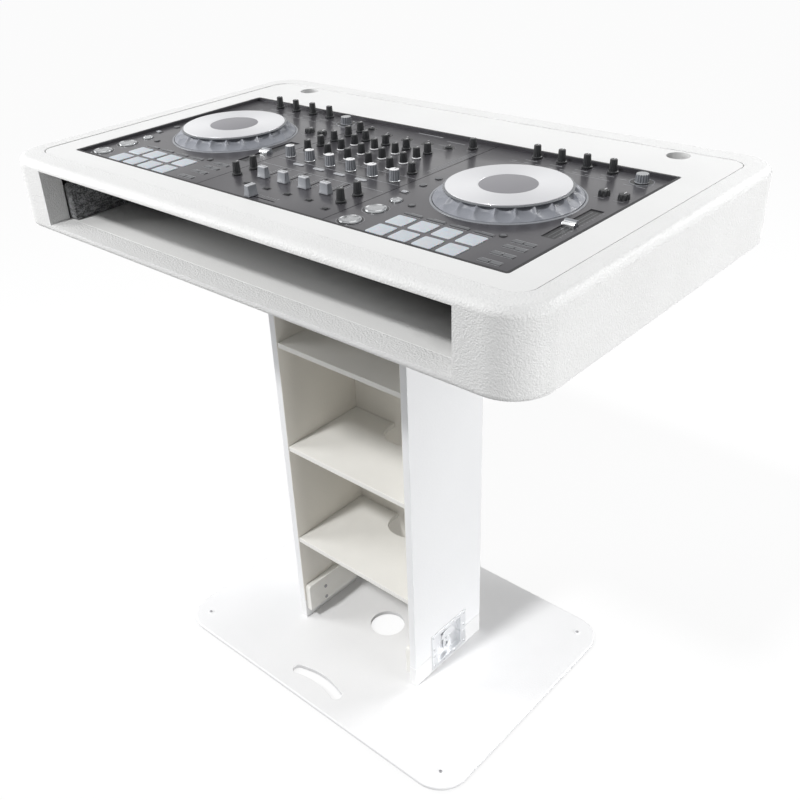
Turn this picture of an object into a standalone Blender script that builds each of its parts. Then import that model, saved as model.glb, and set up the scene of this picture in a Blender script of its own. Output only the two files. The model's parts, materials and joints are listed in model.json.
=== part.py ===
"""A podium stand for a disc jockey, with a four-channel controller fitted flush in its head.

Metres, +Z up. X runs to the operator's right and +Y away from the operator.
The origin is on the floor, under the common centre of base, column and head.
"""

import math

import bmesh
import bpy

# Clearance between pieces that touch.
GAP = 0.0003

# Edges steeper than this stay sharp on round pieces.
SHARP_ANGLE = math.radians(35)

# Base plate on its four feet.
BASE_WIDTH = 0.709
BASE_DEPTH = 0.520
BASE_THICKNESS = 0.009
BASE_CORNER_RADIUS = 0.059
BASE_EDGE_ROUND = 0.0035
FOOT_HEIGHT = 0.003
FOOT_RADIUS = 0.012
FOOT_TAPER = 0.001
CORNER_SCREW_INSET_X = 0.0415
CORNER_SCREW_INSET_Y = 0.040
HAND_SLOT_LENGTH = 0.125
HAND_SLOT_WIDTH = 0.022
HAND_SLOT_BOW = 0.009
HAND_SLOT_INSET = 0.047
CABLE_HOLE_RADIUS = 0.035
CABLE_HOLE_SHIFT = -0.005

# Column, its kerb on the base, its shelves and cleats.
COLUMN_WIDTH = 0.314
COLUMN_DEPTH = 0.200
COLUMN_HEIGHT = 0.8585
SIDE_THICKNESS = 0.015
BACK_THICKNESS = 0.015
KERB_HEIGHT = 0.046
SHELF_THICKNESS = 0.010
SHELF_PITCH = 0.2175
SHELF_FIRST = 0.213
SHELF_SETBACK = 0.001
NOTCH_WIDTH = 0.080
NOTCH_DEPTH = 0.054
NOTCH_RADIUS = 0.036
TOP_BOARD_THICKNESS = 0.015
CLEAT_THICKNESS = 0.012
CLEAT_LOW = 0.023
CLEAT_HIGH = 0.086
CLEAT_END_INSET = 0.004
CLEAT_SCREW_LOW = 0.033
CLEAT_SCREW_HIGH = 0.061
CLEAT_SCREW_SPREAD = 0.052
CLEAT_SCREW_REACH = 0.009

# Screws, bolts and the studs that hold the feet.
SCREW_HEAD_RADIUS = 0.0035
SCREW_HEAD_HEIGHT = 0.0015
SCREW_SHANK_RADIUS = 0.0016
STUD_RADIUS = 0.0030
WASHER_RADIUS = 0.0065
WASHER_HEIGHT = 0.001
NUT_RADIUS = 0.0045
NUT_HEIGHT = 0.0022
NUT_TAPER = 0.0009
BOLT_HEAD_RADIUS = 0.0065
BOLT_HEAD_HEIGHT = 0.004
BOLT_SHANK_RADIUS = 0.003
BOLT_INSET_X = 0.040
BOLT_INSET_Y = 0.035
BOLT_COVER = 0.00325

# Butterfly latch across the seam between column and kerb.
LATCH_WIDTH = 0.104
LATCH_ABOVE = 0.048
LATCH_BELOW = 0.040
LATCH_FLANGE = 0.0012
LATCH_RIM = 0.0085
LATCH_PAN_HALF_WIDTH = 0.0365
LATCH_PAN_DEPTH = 0.0105
LATCH_PAN_WALL = 0.0012
LATCH_HUB_RISE = 0.0115
LATCH_POST_RADIUS = 0.003
LATCH_PIN_DROP = 0.015
LATCH_PIN_HEIGHT = 0.0060
LATCH_HOOK_LIFT = 0.0015
LATCH_HOOK_HALF_WIDTH = 0.009
LATCH_HOOK_THICKNESS = 0.002
LATCH_HOOK_EDGE = 0.003
LATCH_HOOK_TRAVEL = 0.006
LATCH_CAM_RADIUS = 0.0082
LATCH_CAM_THICKNESS = 0.0016
LATCH_LUG_HALF = 0.0018
LATCH_LUG_THICKNESS = 0.0018
LATCH_BARREL_RADIUS = 0.0016
LATCH_BARREL_HALF_LENGTH = 0.0042
LATCH_WING_RADIUS = 0.022
LATCH_WING_START = 0.003
LATCH_WING_THICKNESS = 0.0016

# Head: shell, floor, deck and the boards inside.
HEAD_HEIGHT = 0.1175
HEAD_CORNER_RADIUS = 0.060
HEAD_TOP_ROUND = 0.012
HEAD_BOTTOM_ROUND = 0.009
HEAD_WALL = 0.015
FRONT_WALL = 0.037
LEDGE_WIDTH = 0.005
LEDGE_THICKNESS = 0.010
FLOOR_THICKNESS = 0.013
RIM_THICKNESS = 0.0143
DECK_RECESS = 0.0025
DECK_CORNER_RADIUS = 0.028
RIM_WIDTH_SIDE = 0.035
RIM_WIDTH_FRONT = 0.0415
TRAY_JAMB = 0.100
SUPPORT_THICKNESS = 0.019
SUPPORT_HEIGHT = 0.060
SUPPORT_FRONT_INSET = 0.0015
SUPPORT_LENGTH = 0.455
SUPPORT_ROUND = 0.005
DECK_HOLE_RADIUS = 0.0175
DECK_HOLE_INSET_X = 0.099
DECK_HOLE_INSET_Y = 0.023
DECK_MARGIN_SIDE = 0.049
DECK_MARGIN_FRONT = 0.040
DECK_MARGIN_BACK = 0.108
CUTOUT_CORNER_RADIUS = 0.005

# Controller body.
PLATE_FIT = 0.0015
PLATE_SUNK = 0.0045
PLATE_THICKNESS = 0.003
PLATE_BEVEL = 0.0012
CASE_WALL = 0.003
TUB_DROP = 0.0235
TUB_INNER_INSET = 0.0135
TUB_OUTER_INSET = 0.0495
TUB_END_INSET = 0.008
TUB_SLOPE = 0.012
BOARD_THICKNESS = 0.0016
BOARD_RISE = 0.009
BOARD_INSET = 0.008
BOARD_SPLIT = 0.1285
BOARD_SPLIT_GAP = 0.001
PILLAR_HALF = 0.003
CASE_FOOT_RADIUS = 0.011
CASE_FOOT_HEIGHT = 0.004
CASE_FOOT_TAPER = 0.0016

# Layout of the controls: X from the middle of a deck or of the mixer, Y from the plate's front edge.
DECK_INNER = 0.1545
DECK_OUTER = 0.1515
CHANNEL_PITCH = 0.0435
CHANNEL_CENTRE_X = -0.005
COLOUR_ROW = 0.186
EQ_ROWS = (0.2255, 0.2565, 0.2875)
TRIM_ROW = 0.314
SELECTOR_ROW = 0.356
SELECTOR_SHIFT = 0.0085
MICROPHONE_ROWS = (0.224, 0.254, 0.285, 0.319, 0.348)
MASTER_ROW = 0.225
MASTER_ROW_DROP = 0.014
OUTER_TALL_ROWS = (0.074, 0.108)
FADER_ROW = 0.089
FADER_TRAVEL = 0.045
CROSSFADER_ROW = 0.0215
SWITCH_ROW = 0.055
SWITCH_ROW_LAST = 0.043
CUE_LIGHT_ROW = 0.161
JOG_X = -0.0045
JOG_Y = 0.2205
PAD_X = -0.0068
PAD_Y = 0.0475
PAD_PITCH = 0.0383
PAD_SIZE = 0.0305
PAD_RISE = 0.001
PAD_CLEARANCE = 0.0004
PAD_CORNER_RADIUS = 0.0025
PAD_TRAVEL = 0.0008
MAT_THICKNESS = 0.0015
TEMPO_X = 0.121
TEMPO_WELL_Y = 0.1845
TEMPO_WELL_LENGTH = 0.117
TEMPO_WELL_WIDTH = 0.0200
TEMPO_WELL_DEPTH = 0.0015
TEMPO_REST_Y = 0.1765
TEMPO_TRAVEL_BACK = 0.052
TEMPO_TRAVEL_FRONT = 0.040
EFFECT_X = (-0.0695, -0.0268, 0.0159, 0.0586)
EFFECT_Y = 0.387
EFFECT_MARGIN = 0.022
BROWSE_X = 0.1115
BROWSE_DROP = 0.013
LOW_KNOB_X = (0.096, 0.1255)
LOW_KNOB_Y = 0.3005
PLAY_X = -0.121
CUE_Y = 0.031
PLAY_Y = 0.081
SYNC_Y = 0.123
SHIFT_X = -0.134
SHIFT_Y = 0.156
LOOP_X = -0.132
LOOP_ROWS = (0.194, 0.229)
SLIP_X = -0.090
SLIP_Y = 0.119
CORNER_BUTTON_X = 0.109
CORNER_BUTTON_ROWS = (0.024, 0.050, 0.074, 0.093)
DISPLAY_BUTTON_X = 0.074
DISPLAY_BUTTON_Y = 0.100

# Shapes of the controls.
JOG_RADIUS = 0.1030
JOG_SHOULDER_RADIUS = 0.0895
JOG_SHOULDER_RISE = 0.0150
JOG_DISC_RADIUS = 0.0852
JOG_DISC_STEP = 0.0008
JOG_RISE = 0.0187
JOG_DIMPLES = 22
JOG_DIMPLE_DEPTH = 0.0040
JOG_DIMPLE_RUNOUT = 0.0006
JOG_SKIRT = 0.0024
JOG_LIP = 0.0021
JOG_BORE_RADIUS = 0.0050
JOG_BORE_DEPTH = 0.012
JOG_BEZEL_CLEARANCE = 0.0006
JOG_BEZEL_WIDTH = 0.0032
JOG_BEZEL_RISE = 0.0014
SPINDLE_CLEARANCE = 0.0004
SPINDLE_FOOT_RADIUS = 0.012
SPINDLE_FOOT_HEIGHT = 0.004
KNOB_TOP_RADIUS = 0.0053
KNOB_TAPER = 0.0007
KNOB_SKIRT_RADIUS = 0.0078
KNOB_SKIRT_HEIGHT = 0.0030
KNOB_HEIGHT = 0.0200
KNOB_SHAFT_RADIUS = 0.0026
KNOB_SHAFT_PLAY = 0.0004
EQ_KNOB_HEIGHT = 0.0165
EQ_SKIRT_RADIUS = 0.0072
EQ_SKIRT_HEIGHT = 0.0016
COLOUR_KNOB_RADIUS = 0.0087
COLOUR_KNOB_TOP_RADIUS = 0.0074
COLOUR_KNOB_EDGE = 0.0009
COLOUR_KNOB_HEIGHT = 0.0170
BROWSE_KNOB_RADIUS = 0.0100
BROWSE_KNOB_TOP_RADIUS = 0.0090
BROWSE_KNOB_HEIGHT = 0.0120
LOW_KNOB_RADIUS = 0.0085
LOW_KNOB_HEIGHT = 0.0065
SELECTOR_RADIUS = 0.0058
SELECTOR_HEIGHT = 0.0038
FADER_CAP_LONG = 0.018
FADER_CAP_SHORT = 0.012
FADER_CAP_HEIGHT = 0.0165
FADER_CAP_TAPER = 0.0022
TEMPO_CAP_WIDTH = 0.0185
TEMPO_CAP_LENGTH = 0.0130
TEMPO_CAP_HEIGHT = 0.0085
TEMPO_CAP_TAPER = 0.0011
CAP_FOOT = 0.0015
STEM_WIDTH = 0.0014
STEM_LENGTH = 0.0050
STEM_DEPTH = 0.0080
SLOT_WIDTH = 0.0026
SLIDER_BODY_HALF_WIDTH = 0.0047
BUTTON_RADIUS = 0.0155
BUTTON_CLEARANCE = 0.0004
BUTTON_RISE = 0.0022
BUTTON_TRAVEL = 0.0010
BUTTON_DEPTH = 0.0060
BUTTON_EDGE = 0.0007
BUTTON_STEM_HALF = 0.0016
SYNC_BUTTON_RADIUS = 0.0085
LOOP_BUTTON_RADIUS = 0.0052
SMALL_BUTTON_RISE = 0.0014
SWITCH_SIZE = 0.0100
SHIFT_LENGTH = 0.0120
SHIFT_WIDTH = 0.0070
CUE_LIGHT_LENGTH = 0.0220
CUE_LIGHT_WIDTH = 0.0070
BAR_BUTTON_LENGTH = 0.0330
BAR_BUTTON_WIDTH = 0.0085

# Heights and places that follow from the values above.
DECK_CENTRE_X = BOARD_SPLIT + DECK_INNER
PLATE_HALF_WIDTH = DECK_CENTRE_X + DECK_OUTER
PLATE_DEPTH = EFFECT_Y + EFFECT_MARGIN
MASTER_ROWS = (MASTER_ROW, EFFECT_Y - MASTER_ROW_DROP)
BROWSE_Y = EFFECT_Y - BROWSE_DROP
TUB_INNER_X = BOARD_SPLIT - TUB_INNER_INSET
TUB_OUTER_X = PLATE_HALF_WIDTH - TUB_OUTER_INSET
CUTOUT_WIDTH = 2 * (PLATE_HALF_WIDTH + PLATE_FIT)
CUTOUT_DEPTH = PLATE_DEPTH + 2 * PLATE_FIT
CUTOUT_CENTRE_Y = (DECK_MARGIN_FRONT - DECK_MARGIN_BACK) / 2
HEAD_WIDTH = CUTOUT_WIDTH + 2 * (DECK_MARGIN_SIDE + RIM_WIDTH_SIDE)
HEAD_DEPTH = CUTOUT_DEPTH + DECK_MARGIN_FRONT + DECK_MARGIN_BACK + 2 * RIM_WIDTH_FRONT
TRAY_HALF_WIDTH = HEAD_WIDTH / 2 - TRAY_JAMB
DECK_HOLE_X = HEAD_WIDTH / 2 - RIM_WIDTH_SIDE - DECK_HOLE_INSET_X
DECK_HOLE_Y = HEAD_DEPTH / 2 - RIM_WIDTH_FRONT - DECK_HOLE_INSET_Y
BASE_TOP = FOOT_HEIGHT + BASE_THICKNESS
SEAM = BASE_TOP + KERB_HEIGHT
HEAD_BOTTOM = BASE_TOP + COLUMN_HEIGHT
HEAD_TOP = HEAD_BOTTOM + HEAD_HEIGHT
TRAY_FLOOR = HEAD_BOTTOM + FLOOR_THICKNESS
RIM_UNDERSIDE = HEAD_TOP - RIM_THICKNESS
DECK_TOP = HEAD_TOP - DECK_RECESS
PLATE_TOP = DECK_TOP - PLATE_SUNK
PLATE_UNDERSIDE = PLATE_TOP - PLATE_THICKNESS
SUPPORT_TOP = TRAY_FLOOR + SUPPORT_HEIGHT
CASE_BOTTOM = SUPPORT_TOP + GAP
TUB_BOTTOM = CASE_BOTTOM - TUB_DROP
SIDE_OUTER = COLUMN_WIDTH / 2
SIDE_INNER = SIDE_OUTER - SIDE_THICKNESS
COLUMN_FRONT = -COLUMN_DEPTH / 2
COLUMN_BACK = COLUMN_DEPTH / 2
BACK_INNER = COLUMN_BACK - BACK_THICKNESS
HEAD_INNER_X = HEAD_WIDTH / 2 - HEAD_WALL
HEAD_INNER_FRONT = FRONT_WALL - HEAD_DEPTH / 2
HEAD_INNER_BACK = HEAD_DEPTH / 2 - HEAD_WALL
CUTOUT_FRONT = CUTOUT_CENTRE_Y - CUTOUT_DEPTH / 2
CUTOUT_BACK = CUTOUT_CENTRE_Y + CUTOUT_DEPTH / 2
PLATE_FRONT = CUTOUT_FRONT + PLATE_FIT
PLATE_BACK = CUTOUT_BACK - PLATE_FIT
BOARD_TOP = CASE_BOTTOM + CASE_WALL + BOARD_RISE
CHANNELS = [CHANNEL_CENTRE_X + CHANNEL_PITCH * (i - 1.5) for i in range(4)]
MIC_COLUMN = CHANNEL_CENTRE_X - CHANNEL_PITCH * 2.5
MASTER_COLUMN = CHANNEL_CENTRE_X + CHANNEL_PITCH * 2.5
SIDES = (("left", -1), ("right", 1))


def row(distance):
    """World Y of a row that lies this far from the plate's front edge."""
    return PLATE_FRONT + distance


def clear_scene():
    for thing in list(bpy.data.objects):
        bpy.data.objects.remove(thing, do_unlink=True)


def material(name, colour, roughness, metallic=0.0):
    """A Principled material, made once for each name."""
    found = bpy.data.materials.get(name)
    if found:
        return found
    made = bpy.data.materials.new(name)
    made.use_nodes = True
    shader = made.node_tree.nodes["Principled BSDF"]
    shader.inputs["Base Color"].default_value = (*colour, 1.0)
    shader.inputs["Roughness"].default_value = roughness
    shader.inputs["Metallic"].default_value = metallic
    made.diffuse_color = (*colour, 1.0)
    return made


WHITE_COAT = ("white_textured_coat", (0.86, 0.86, 0.85), 0.55)
WHITE_PAINT = ("white_paint", (0.84, 0.83, 0.81), 0.45)
CARPET = ("charcoal_carpet", (0.055, 0.055, 0.06), 0.95)
RUBBER = ("black_rubber", (0.03, 0.03, 0.03), 0.85)
STEEL = ("bright_steel", (0.72, 0.73, 0.75), 0.28, 1.0)
BLACK_PLASTIC = ("black_plastic", (0.03, 0.032, 0.036), 0.45)
GRAPHITE = ("graphite_plate", (0.16, 0.165, 0.18), 0.30, 0.2)
SILVER = ("silver_plastic", (0.66, 0.68, 0.71), 0.30, 0.6)
WHITE_DISC = ("white_disc", (0.85, 0.85, 0.87), 0.40)
PAD_RUBBER = ("pale_pad_rubber", (0.74, 0.79, 0.84), 0.55)
CIRCUIT = ("circuit_board", (0.03, 0.16, 0.08), 0.50)


def mesh_object(name, bm, origin=(0.0, 0.0, 0.0)):
    """Closes a bmesh into an object whose origin lies at the given world point."""
    bmesh.ops.remove_doubles(bm, verts=bm.verts, dist=1e-7)
    bmesh.ops.recalc_face_normals(bm, faces=bm.faces)
    bmesh.ops.translate(bm, verts=bm.verts, vec=[-value for value in origin])
    mesh = bpy.data.meshes.new(name)
    bm.to_mesh(mesh)
    bm.free()
    made = bpy.data.objects.new(name, mesh)
    made.location = origin
    bpy.context.scene.collection.objects.link(made)
    return made


def piece(name, bm, finish, origin=(0.0, 0.0, 0.0), smooth=False):
    made = mesh_object(name, bm, origin)
    made.data.materials.append(material(*finish))
    if smooth:
        made.data.shade_smooth()
        made.data.set_sharp_from_angle(angle=SHARP_ANGLE)
    return made


def boolean(target, bm, operation="DIFFERENCE"):
    """Cuts away, or joins on, the closed shapes in the bmesh."""
    helper = mesh_object(f"{target.name}_{operation.lower()}_{len(target.modifiers)}", bm)
    helper.hide_render = True
    helper.display_type = "WIRE"
    modifier = target.modifiers.new(operation.title(), "BOOLEAN")
    modifier.operation = operation
    modifier.object = helper
    modifier.solver = "EXACT"
    modifier.show_render = True
    return target


def add_box(bm, low, high):
    corners = [(x, y, z) for z in (low[2], high[2]) for x, y in (
        (low[0], low[1]), (high[0], low[1]), (high[0], high[1]), (low[0], high[1]))]
    verts = [bm.verts.new(corner) for corner in corners]
    for face in ((3, 2, 1, 0), (4, 5, 6, 7), (0, 1, 5, 4), (1, 2, 6, 5), (2, 3, 7, 6), (3, 0, 4, 7)):
        bm.faces.new([verts[i] for i in face])


def add_loft(bm, rings):
    """Joins rings of as many points each, and closes both ends with one face."""
    loops = [[bm.verts.new(point) for point in ring] for ring in rings]
    for lower, upper in zip(loops, loops[1:]):
        for i in range(len(lower)):
            j = (i + 1) % len(lower)
            bm.faces.new((lower[i], lower[j], upper[j], upper[i]))
    bm.faces.new(loops[0][::-1])
    bm.faces.new(loops[-1])


def add_prism(bm, outline, low, high, axis="z"):
    """Extrudes a flat outline. Along x the outline is (y, z), along y it is (x, z)."""
    place = {
        "x": lambda u, v, w: (w, u, v),
        "y": lambda u, v, w: (u, w, v),
        "z": lambda u, v, w: (u, v, w),
    }[axis]
    add_loft(bm, [[place(u, v, w) for u, v in outline] for w in (low, high)])


def add_turned(bm, profile, centre=(0.0, 0.0), segments=24, axis="z"):
    """Turns (radius, height) pairs round an upright axis, or round one along x."""
    rings = []
    for radius, height in profile:
        ring = []
        for i in range(segments):
            angle = 2 * math.pi * i / segments
            u = centre[0] + radius * math.cos(angle)
            v = centre[1] + radius * math.sin(angle)
            ring.append((u, v, height) if axis == "z" else (height, u, v))
        rings.append(ring)
    add_loft(bm, rings)


def add_cylinder(bm, centre, radius, low, high, segments=24, axis="z"):
    add_turned(bm, [(radius, low), (radius, high)], centre, segments, axis)


def rounded_rectangle(half_x, half_y, radius, centre=(0.0, 0.0), steps=6):
    """Outline of a rectangle with round corners, anticlockwise."""
    points = []
    corners = ((1, 1, 0), (-1, 1, 90), (-1, -1, 180), (1, -1, 270))
    for sign_x, sign_y, start in corners:
        for i in range(steps + 1):
            angle = math.radians(start + 90 * i / steps)
            x = centre[0] + sign_x * (half_x - radius) + radius * math.cos(angle)
            y = centre[1] + sign_y * (half_y - radius) + radius * math.sin(angle)
            points.append((x, y))
    return points


def add_rounded_slab(bm, half_x, half_y, low, high, corner, round_low, round_high, steps=8, edge_steps=3):
    """A slab with round corners in plan and rounded lower and upper edges."""
    quarter = [math.pi / 2 * i / edge_steps for i in range(edge_steps + 1)]
    levels = [(low + round_low * (1 - math.sin(angle)), round_low * (1 - math.cos(angle)))
              for angle in reversed(quarter)]
    levels += [(high - round_high * (1 - math.sin(angle)), round_high * (1 - math.cos(angle)))
               for angle in quarter]
    rings = []
    for height, inset in levels:
        outline = rounded_rectangle(half_x - inset, half_y - inset, corner - inset, steps=steps)
        rings.append([(x, y, height) for x, y in outline])
    add_loft(bm, rings)


def arc_slot(length, width, bow, centre, steps=6):
    """Outline of a hand slot whose long edges both bow towards +Y, with round ends."""
    half = length / 2 - width / 2
    points = []
    for i in range(steps + 1):
        angle = math.radians(-90 + 180 * i / steps)
        points.append((half + width / 2 * math.cos(angle), width / 2 * math.sin(angle)))
    for i in range(1, steps):
        x = half * (1 - 2 * i / steps)
        points.append((x, width / 2))
    for i in range(steps + 1):
        angle = math.radians(90 + 180 * i / steps)
        points.append((-half + width / 2 * math.cos(angle), width / 2 * math.sin(angle)))
    for i in range(1, steps):
        x = -half * (1 - 2 * i / steps)
        points.append((x, -width / 2))
    lifted = []
    for x, y in points:
        share = min(1.0, abs(x) / half)
        lifted.append((centre[0] + x, centre[1] + y + bow * (1 - share ** 2)))
    return lifted


def base_corners():
    x = BASE_WIDTH / 2 - CORNER_SCREW_INSET_X
    y = BASE_DEPTH / 2 - CORNER_SCREW_INSET_Y
    return [(f"{depth}_{side}", sign_x * x, sign_y * y)
            for depth, sign_y in (("front", -1), ("back", 1)) for side, sign_x in SIDES]


def build_base():
    half_x = BASE_WIDTH / 2
    half_y = BASE_DEPTH / 2
    bm = bmesh.new()
    add_rounded_slab(bm, half_x, half_y, FOOT_HEIGHT, BASE_TOP, BASE_CORNER_RADIUS,
                     BASE_EDGE_ROUND, BASE_EDGE_ROUND, steps=7, edge_steps=2)
    plate = piece("base_plate", bm, WHITE_COAT, smooth=True)
    bm = bmesh.new()
    below = FOOT_HEIGHT - BASE_THICKNESS
    above = BASE_TOP + BASE_THICKNESS
    slot_y = -half_y + HAND_SLOT_INSET
    add_prism(bm, arc_slot(HAND_SLOT_LENGTH, HAND_SLOT_WIDTH, HAND_SLOT_BOW, (0.0, slot_y)), below, above)
    add_cylinder(bm, (0.0, CABLE_HOLE_SHIFT), CABLE_HOLE_RADIUS, below, above, 28)
    for _, x, y in base_corners():
        add_cylinder(bm, (x, y), STUD_RADIUS + GAP, below, above, 8)
    boolean(plate, bm)

    seat = BASE_TOP + GAP
    for name, x, y in base_corners():
        bm = bmesh.new()
        add_turned(bm, [
            (FOOT_RADIUS - FOOT_TAPER, 0.0),
            (FOOT_RADIUS, FOOT_HEIGHT - GAP),
            (STUD_RADIUS, FOOT_HEIGHT - GAP),
            (STUD_RADIUS, seat),
            (WASHER_RADIUS, seat),
            (WASHER_RADIUS, seat + WASHER_HEIGHT),
            (NUT_RADIUS, seat + WASHER_HEIGHT),
            (NUT_RADIUS - NUT_TAPER, seat + WASHER_HEIGHT + NUT_HEIGHT),
        ], (x, y), 12)
        piece(f"base_foot_{name}", bm, RUBBER, smooth=True)


def cleat_screw_places():
    """(y, z, depth) of each cleat screw. The low row holds the cleat to the kerb."""
    places = []
    for sign in (-1, 1):
        y = sign * CLEAT_SCREW_SPREAD
        places.append((y, BASE_TOP + CLEAT_SCREW_LOW, CLEAT_SCREW_REACH))
        places.append((y, BASE_TOP + CLEAT_SCREW_HIGH, 0.0))
    return places


def build_kerb():
    """The U-shaped kerb that stays on the base when the column is lifted off."""
    outline = [
        (-SIDE_OUTER, COLUMN_FRONT), (-SIDE_INNER, COLUMN_FRONT), (-SIDE_INNER, BACK_INNER),
        (SIDE_INNER, BACK_INNER), (SIDE_INNER, COLUMN_FRONT), (SIDE_OUTER, COLUMN_FRONT),
        (SIDE_OUTER, COLUMN_BACK), (-SIDE_OUTER, COLUMN_BACK),
    ]
    bm = bmesh.new()
    add_prism(bm, outline, BASE_TOP + GAP, SEAM - GAP)
    kerb = piece("base_kerb", bm, WHITE_COAT)
    bm = bmesh.new()
    for _, side in SIDES:
        add_latch_pocket(bm, side, SEAM - LATCH_BELOW + LATCH_RIM - GAP, SEAM + GAP)
        for y, z, reach in cleat_screw_places():
            if reach > 0:
                ends = sorted((side * (SIDE_INNER - GAP), side * (SIDE_INNER + reach + GAP)))
                add_cylinder(bm, (y, z), SCREW_SHANK_RADIUS + GAP, ends[0], ends[1], 6, axis="x")
    boolean(kerb, bm)


def add_latch_pocket(bm, side, low, high):
    outer = side * (SIDE_OUTER + SIDE_THICKNESS)
    bottom = side * (SIDE_OUTER - LATCH_PAN_DEPTH - GAP)
    half = LATCH_PAN_HALF_WIDTH + GAP
    xs = sorted((outer, bottom))
    add_box(bm, (xs[0], -half, low), (xs[1], half, high))


def build_cleats():
    """Guide boards inside the kerb, with the screws that hold them."""
    for name, side in SIDES:
        outer = side * (SIDE_INNER - GAP)
        inner = outer - side * CLEAT_THICKNESS
        xs = sorted((outer, inner))
        low = BASE_TOP + CLEAT_LOW
        high = BASE_TOP + CLEAT_HIGH
        front = COLUMN_FRONT + CLEAT_END_INSET
        back = BACK_INNER - CLEAT_END_INSET
        radius = CLEAT_THICKNESS / 2
        outline = [(front, low), (back, low), (back, high)]
        for i in range(5):
            angle = math.radians(90 + 90 * i / 4)
            outline.append((front + radius + radius * math.cos(angle),
                            high - radius + radius * math.sin(angle)))
        bm = bmesh.new()
        add_prism(bm, outline, xs[0], xs[1], axis="x")
        cleat = piece(f"cleat_{name}", bm, WHITE_PAINT)
        bm = bmesh.new()
        sunk = inner + side * CLEAT_THICKNESS / 2
        for y, z, reach in cleat_screw_places():
            low, high = sorted((sunk, inner - side * SCREW_HEAD_HEIGHT))
            add_cylinder(bm, (y, z), SCREW_HEAD_RADIUS, low, high, 8, axis="x")
            if reach > 0:
                low, high = sorted((sunk + side * SCREW_HEAD_HEIGHT, side * (SIDE_INNER + reach)))
                add_cylinder(bm, (y, z), SCREW_SHANK_RADIUS, low, high, 6, axis="x")
        boolean(cleat, bm, "UNION")


def build_column():
    top = HEAD_BOTTOM - GAP
    for name, side in SIDES:
        xs = sorted((side * SIDE_INNER, side * SIDE_OUTER))
        bm = bmesh.new()
        add_box(bm, (xs[0], COLUMN_FRONT, SEAM), (xs[1], COLUMN_BACK, top))
        panel = piece(f"column_side_{name}", bm, WHITE_COAT)
        bm = bmesh.new()
        add_latch_pocket(bm, side, SEAM - GAP, SEAM + LATCH_ABOVE - LATCH_RIM + GAP)
        boolean(panel, bm)

    inner = SIDE_INNER - GAP
    bm = bmesh.new()
    add_box(bm, (-inner, BACK_INNER, SEAM), (inner, COLUMN_BACK, top))
    piece("column_back", bm, WHITE_COAT)

    front = COLUMN_FRONT + SHELF_SETBACK
    back = BACK_INNER - GAP
    notch_x = NOTCH_WIDTH / 2
    notch_y = back - NOTCH_DEPTH
    for i, name in enumerate(("lower", "middle", "upper")):
        shelf_top = BASE_TOP + SHELF_FIRST + SHELF_PITCH * i
        outline = [(-inner, front), (inner, front), (inner, back), (notch_x, back)]
        for start, centre_x in ((0, notch_x - NOTCH_RADIUS), (-90, -notch_x + NOTCH_RADIUS)):
            for step in range(7):
                angle = math.radians(start - 90 * step / 6)
                outline.append((centre_x + NOTCH_RADIUS * math.cos(angle),
                                notch_y + NOTCH_RADIUS + NOTCH_RADIUS * math.sin(angle)))
        outline += [(-notch_x, back), (-inner, back)]
        bm = bmesh.new()
        add_prism(bm, outline, shelf_top - SHELF_THICKNESS, shelf_top)
        piece(f"shelf_{name}", bm, WHITE_PAINT)

    bm = bmesh.new()
    add_box(bm, (-inner, front, top - TOP_BOARD_THICKNESS), (inner, back, top))
    board = piece("column_top_board", bm, WHITE_PAINT)
    bm = bmesh.new()
    seat = top - TOP_BOARD_THICKNESS
    for x, y in bolt_places():
        add_turned(bm, [
            (BOLT_HEAD_RADIUS, seat - BOLT_HEAD_HEIGHT),
            (BOLT_HEAD_RADIUS, seat + BOLT_HEAD_HEIGHT),
            (BOLT_SHANK_RADIUS, seat + BOLT_HEAD_HEIGHT),
            (BOLT_SHANK_RADIUS, bolt_tip()),
        ], (x, y), 8)
    boolean(board, bm, "UNION")


def bolt_places():
    """The four bolts that come up through the column's top board into the floor of the head."""
    x = SIDE_INNER - BOLT_INSET_X
    y = COLUMN_DEPTH / 2 - BOLT_INSET_Y
    return [(sign_x * x, sign_y * y) for sign_x in (-1, 1) for sign_y in (-1, 1)]


def bolt_tip():
    return TRAY_FLOOR - BOLT_COVER


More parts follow.
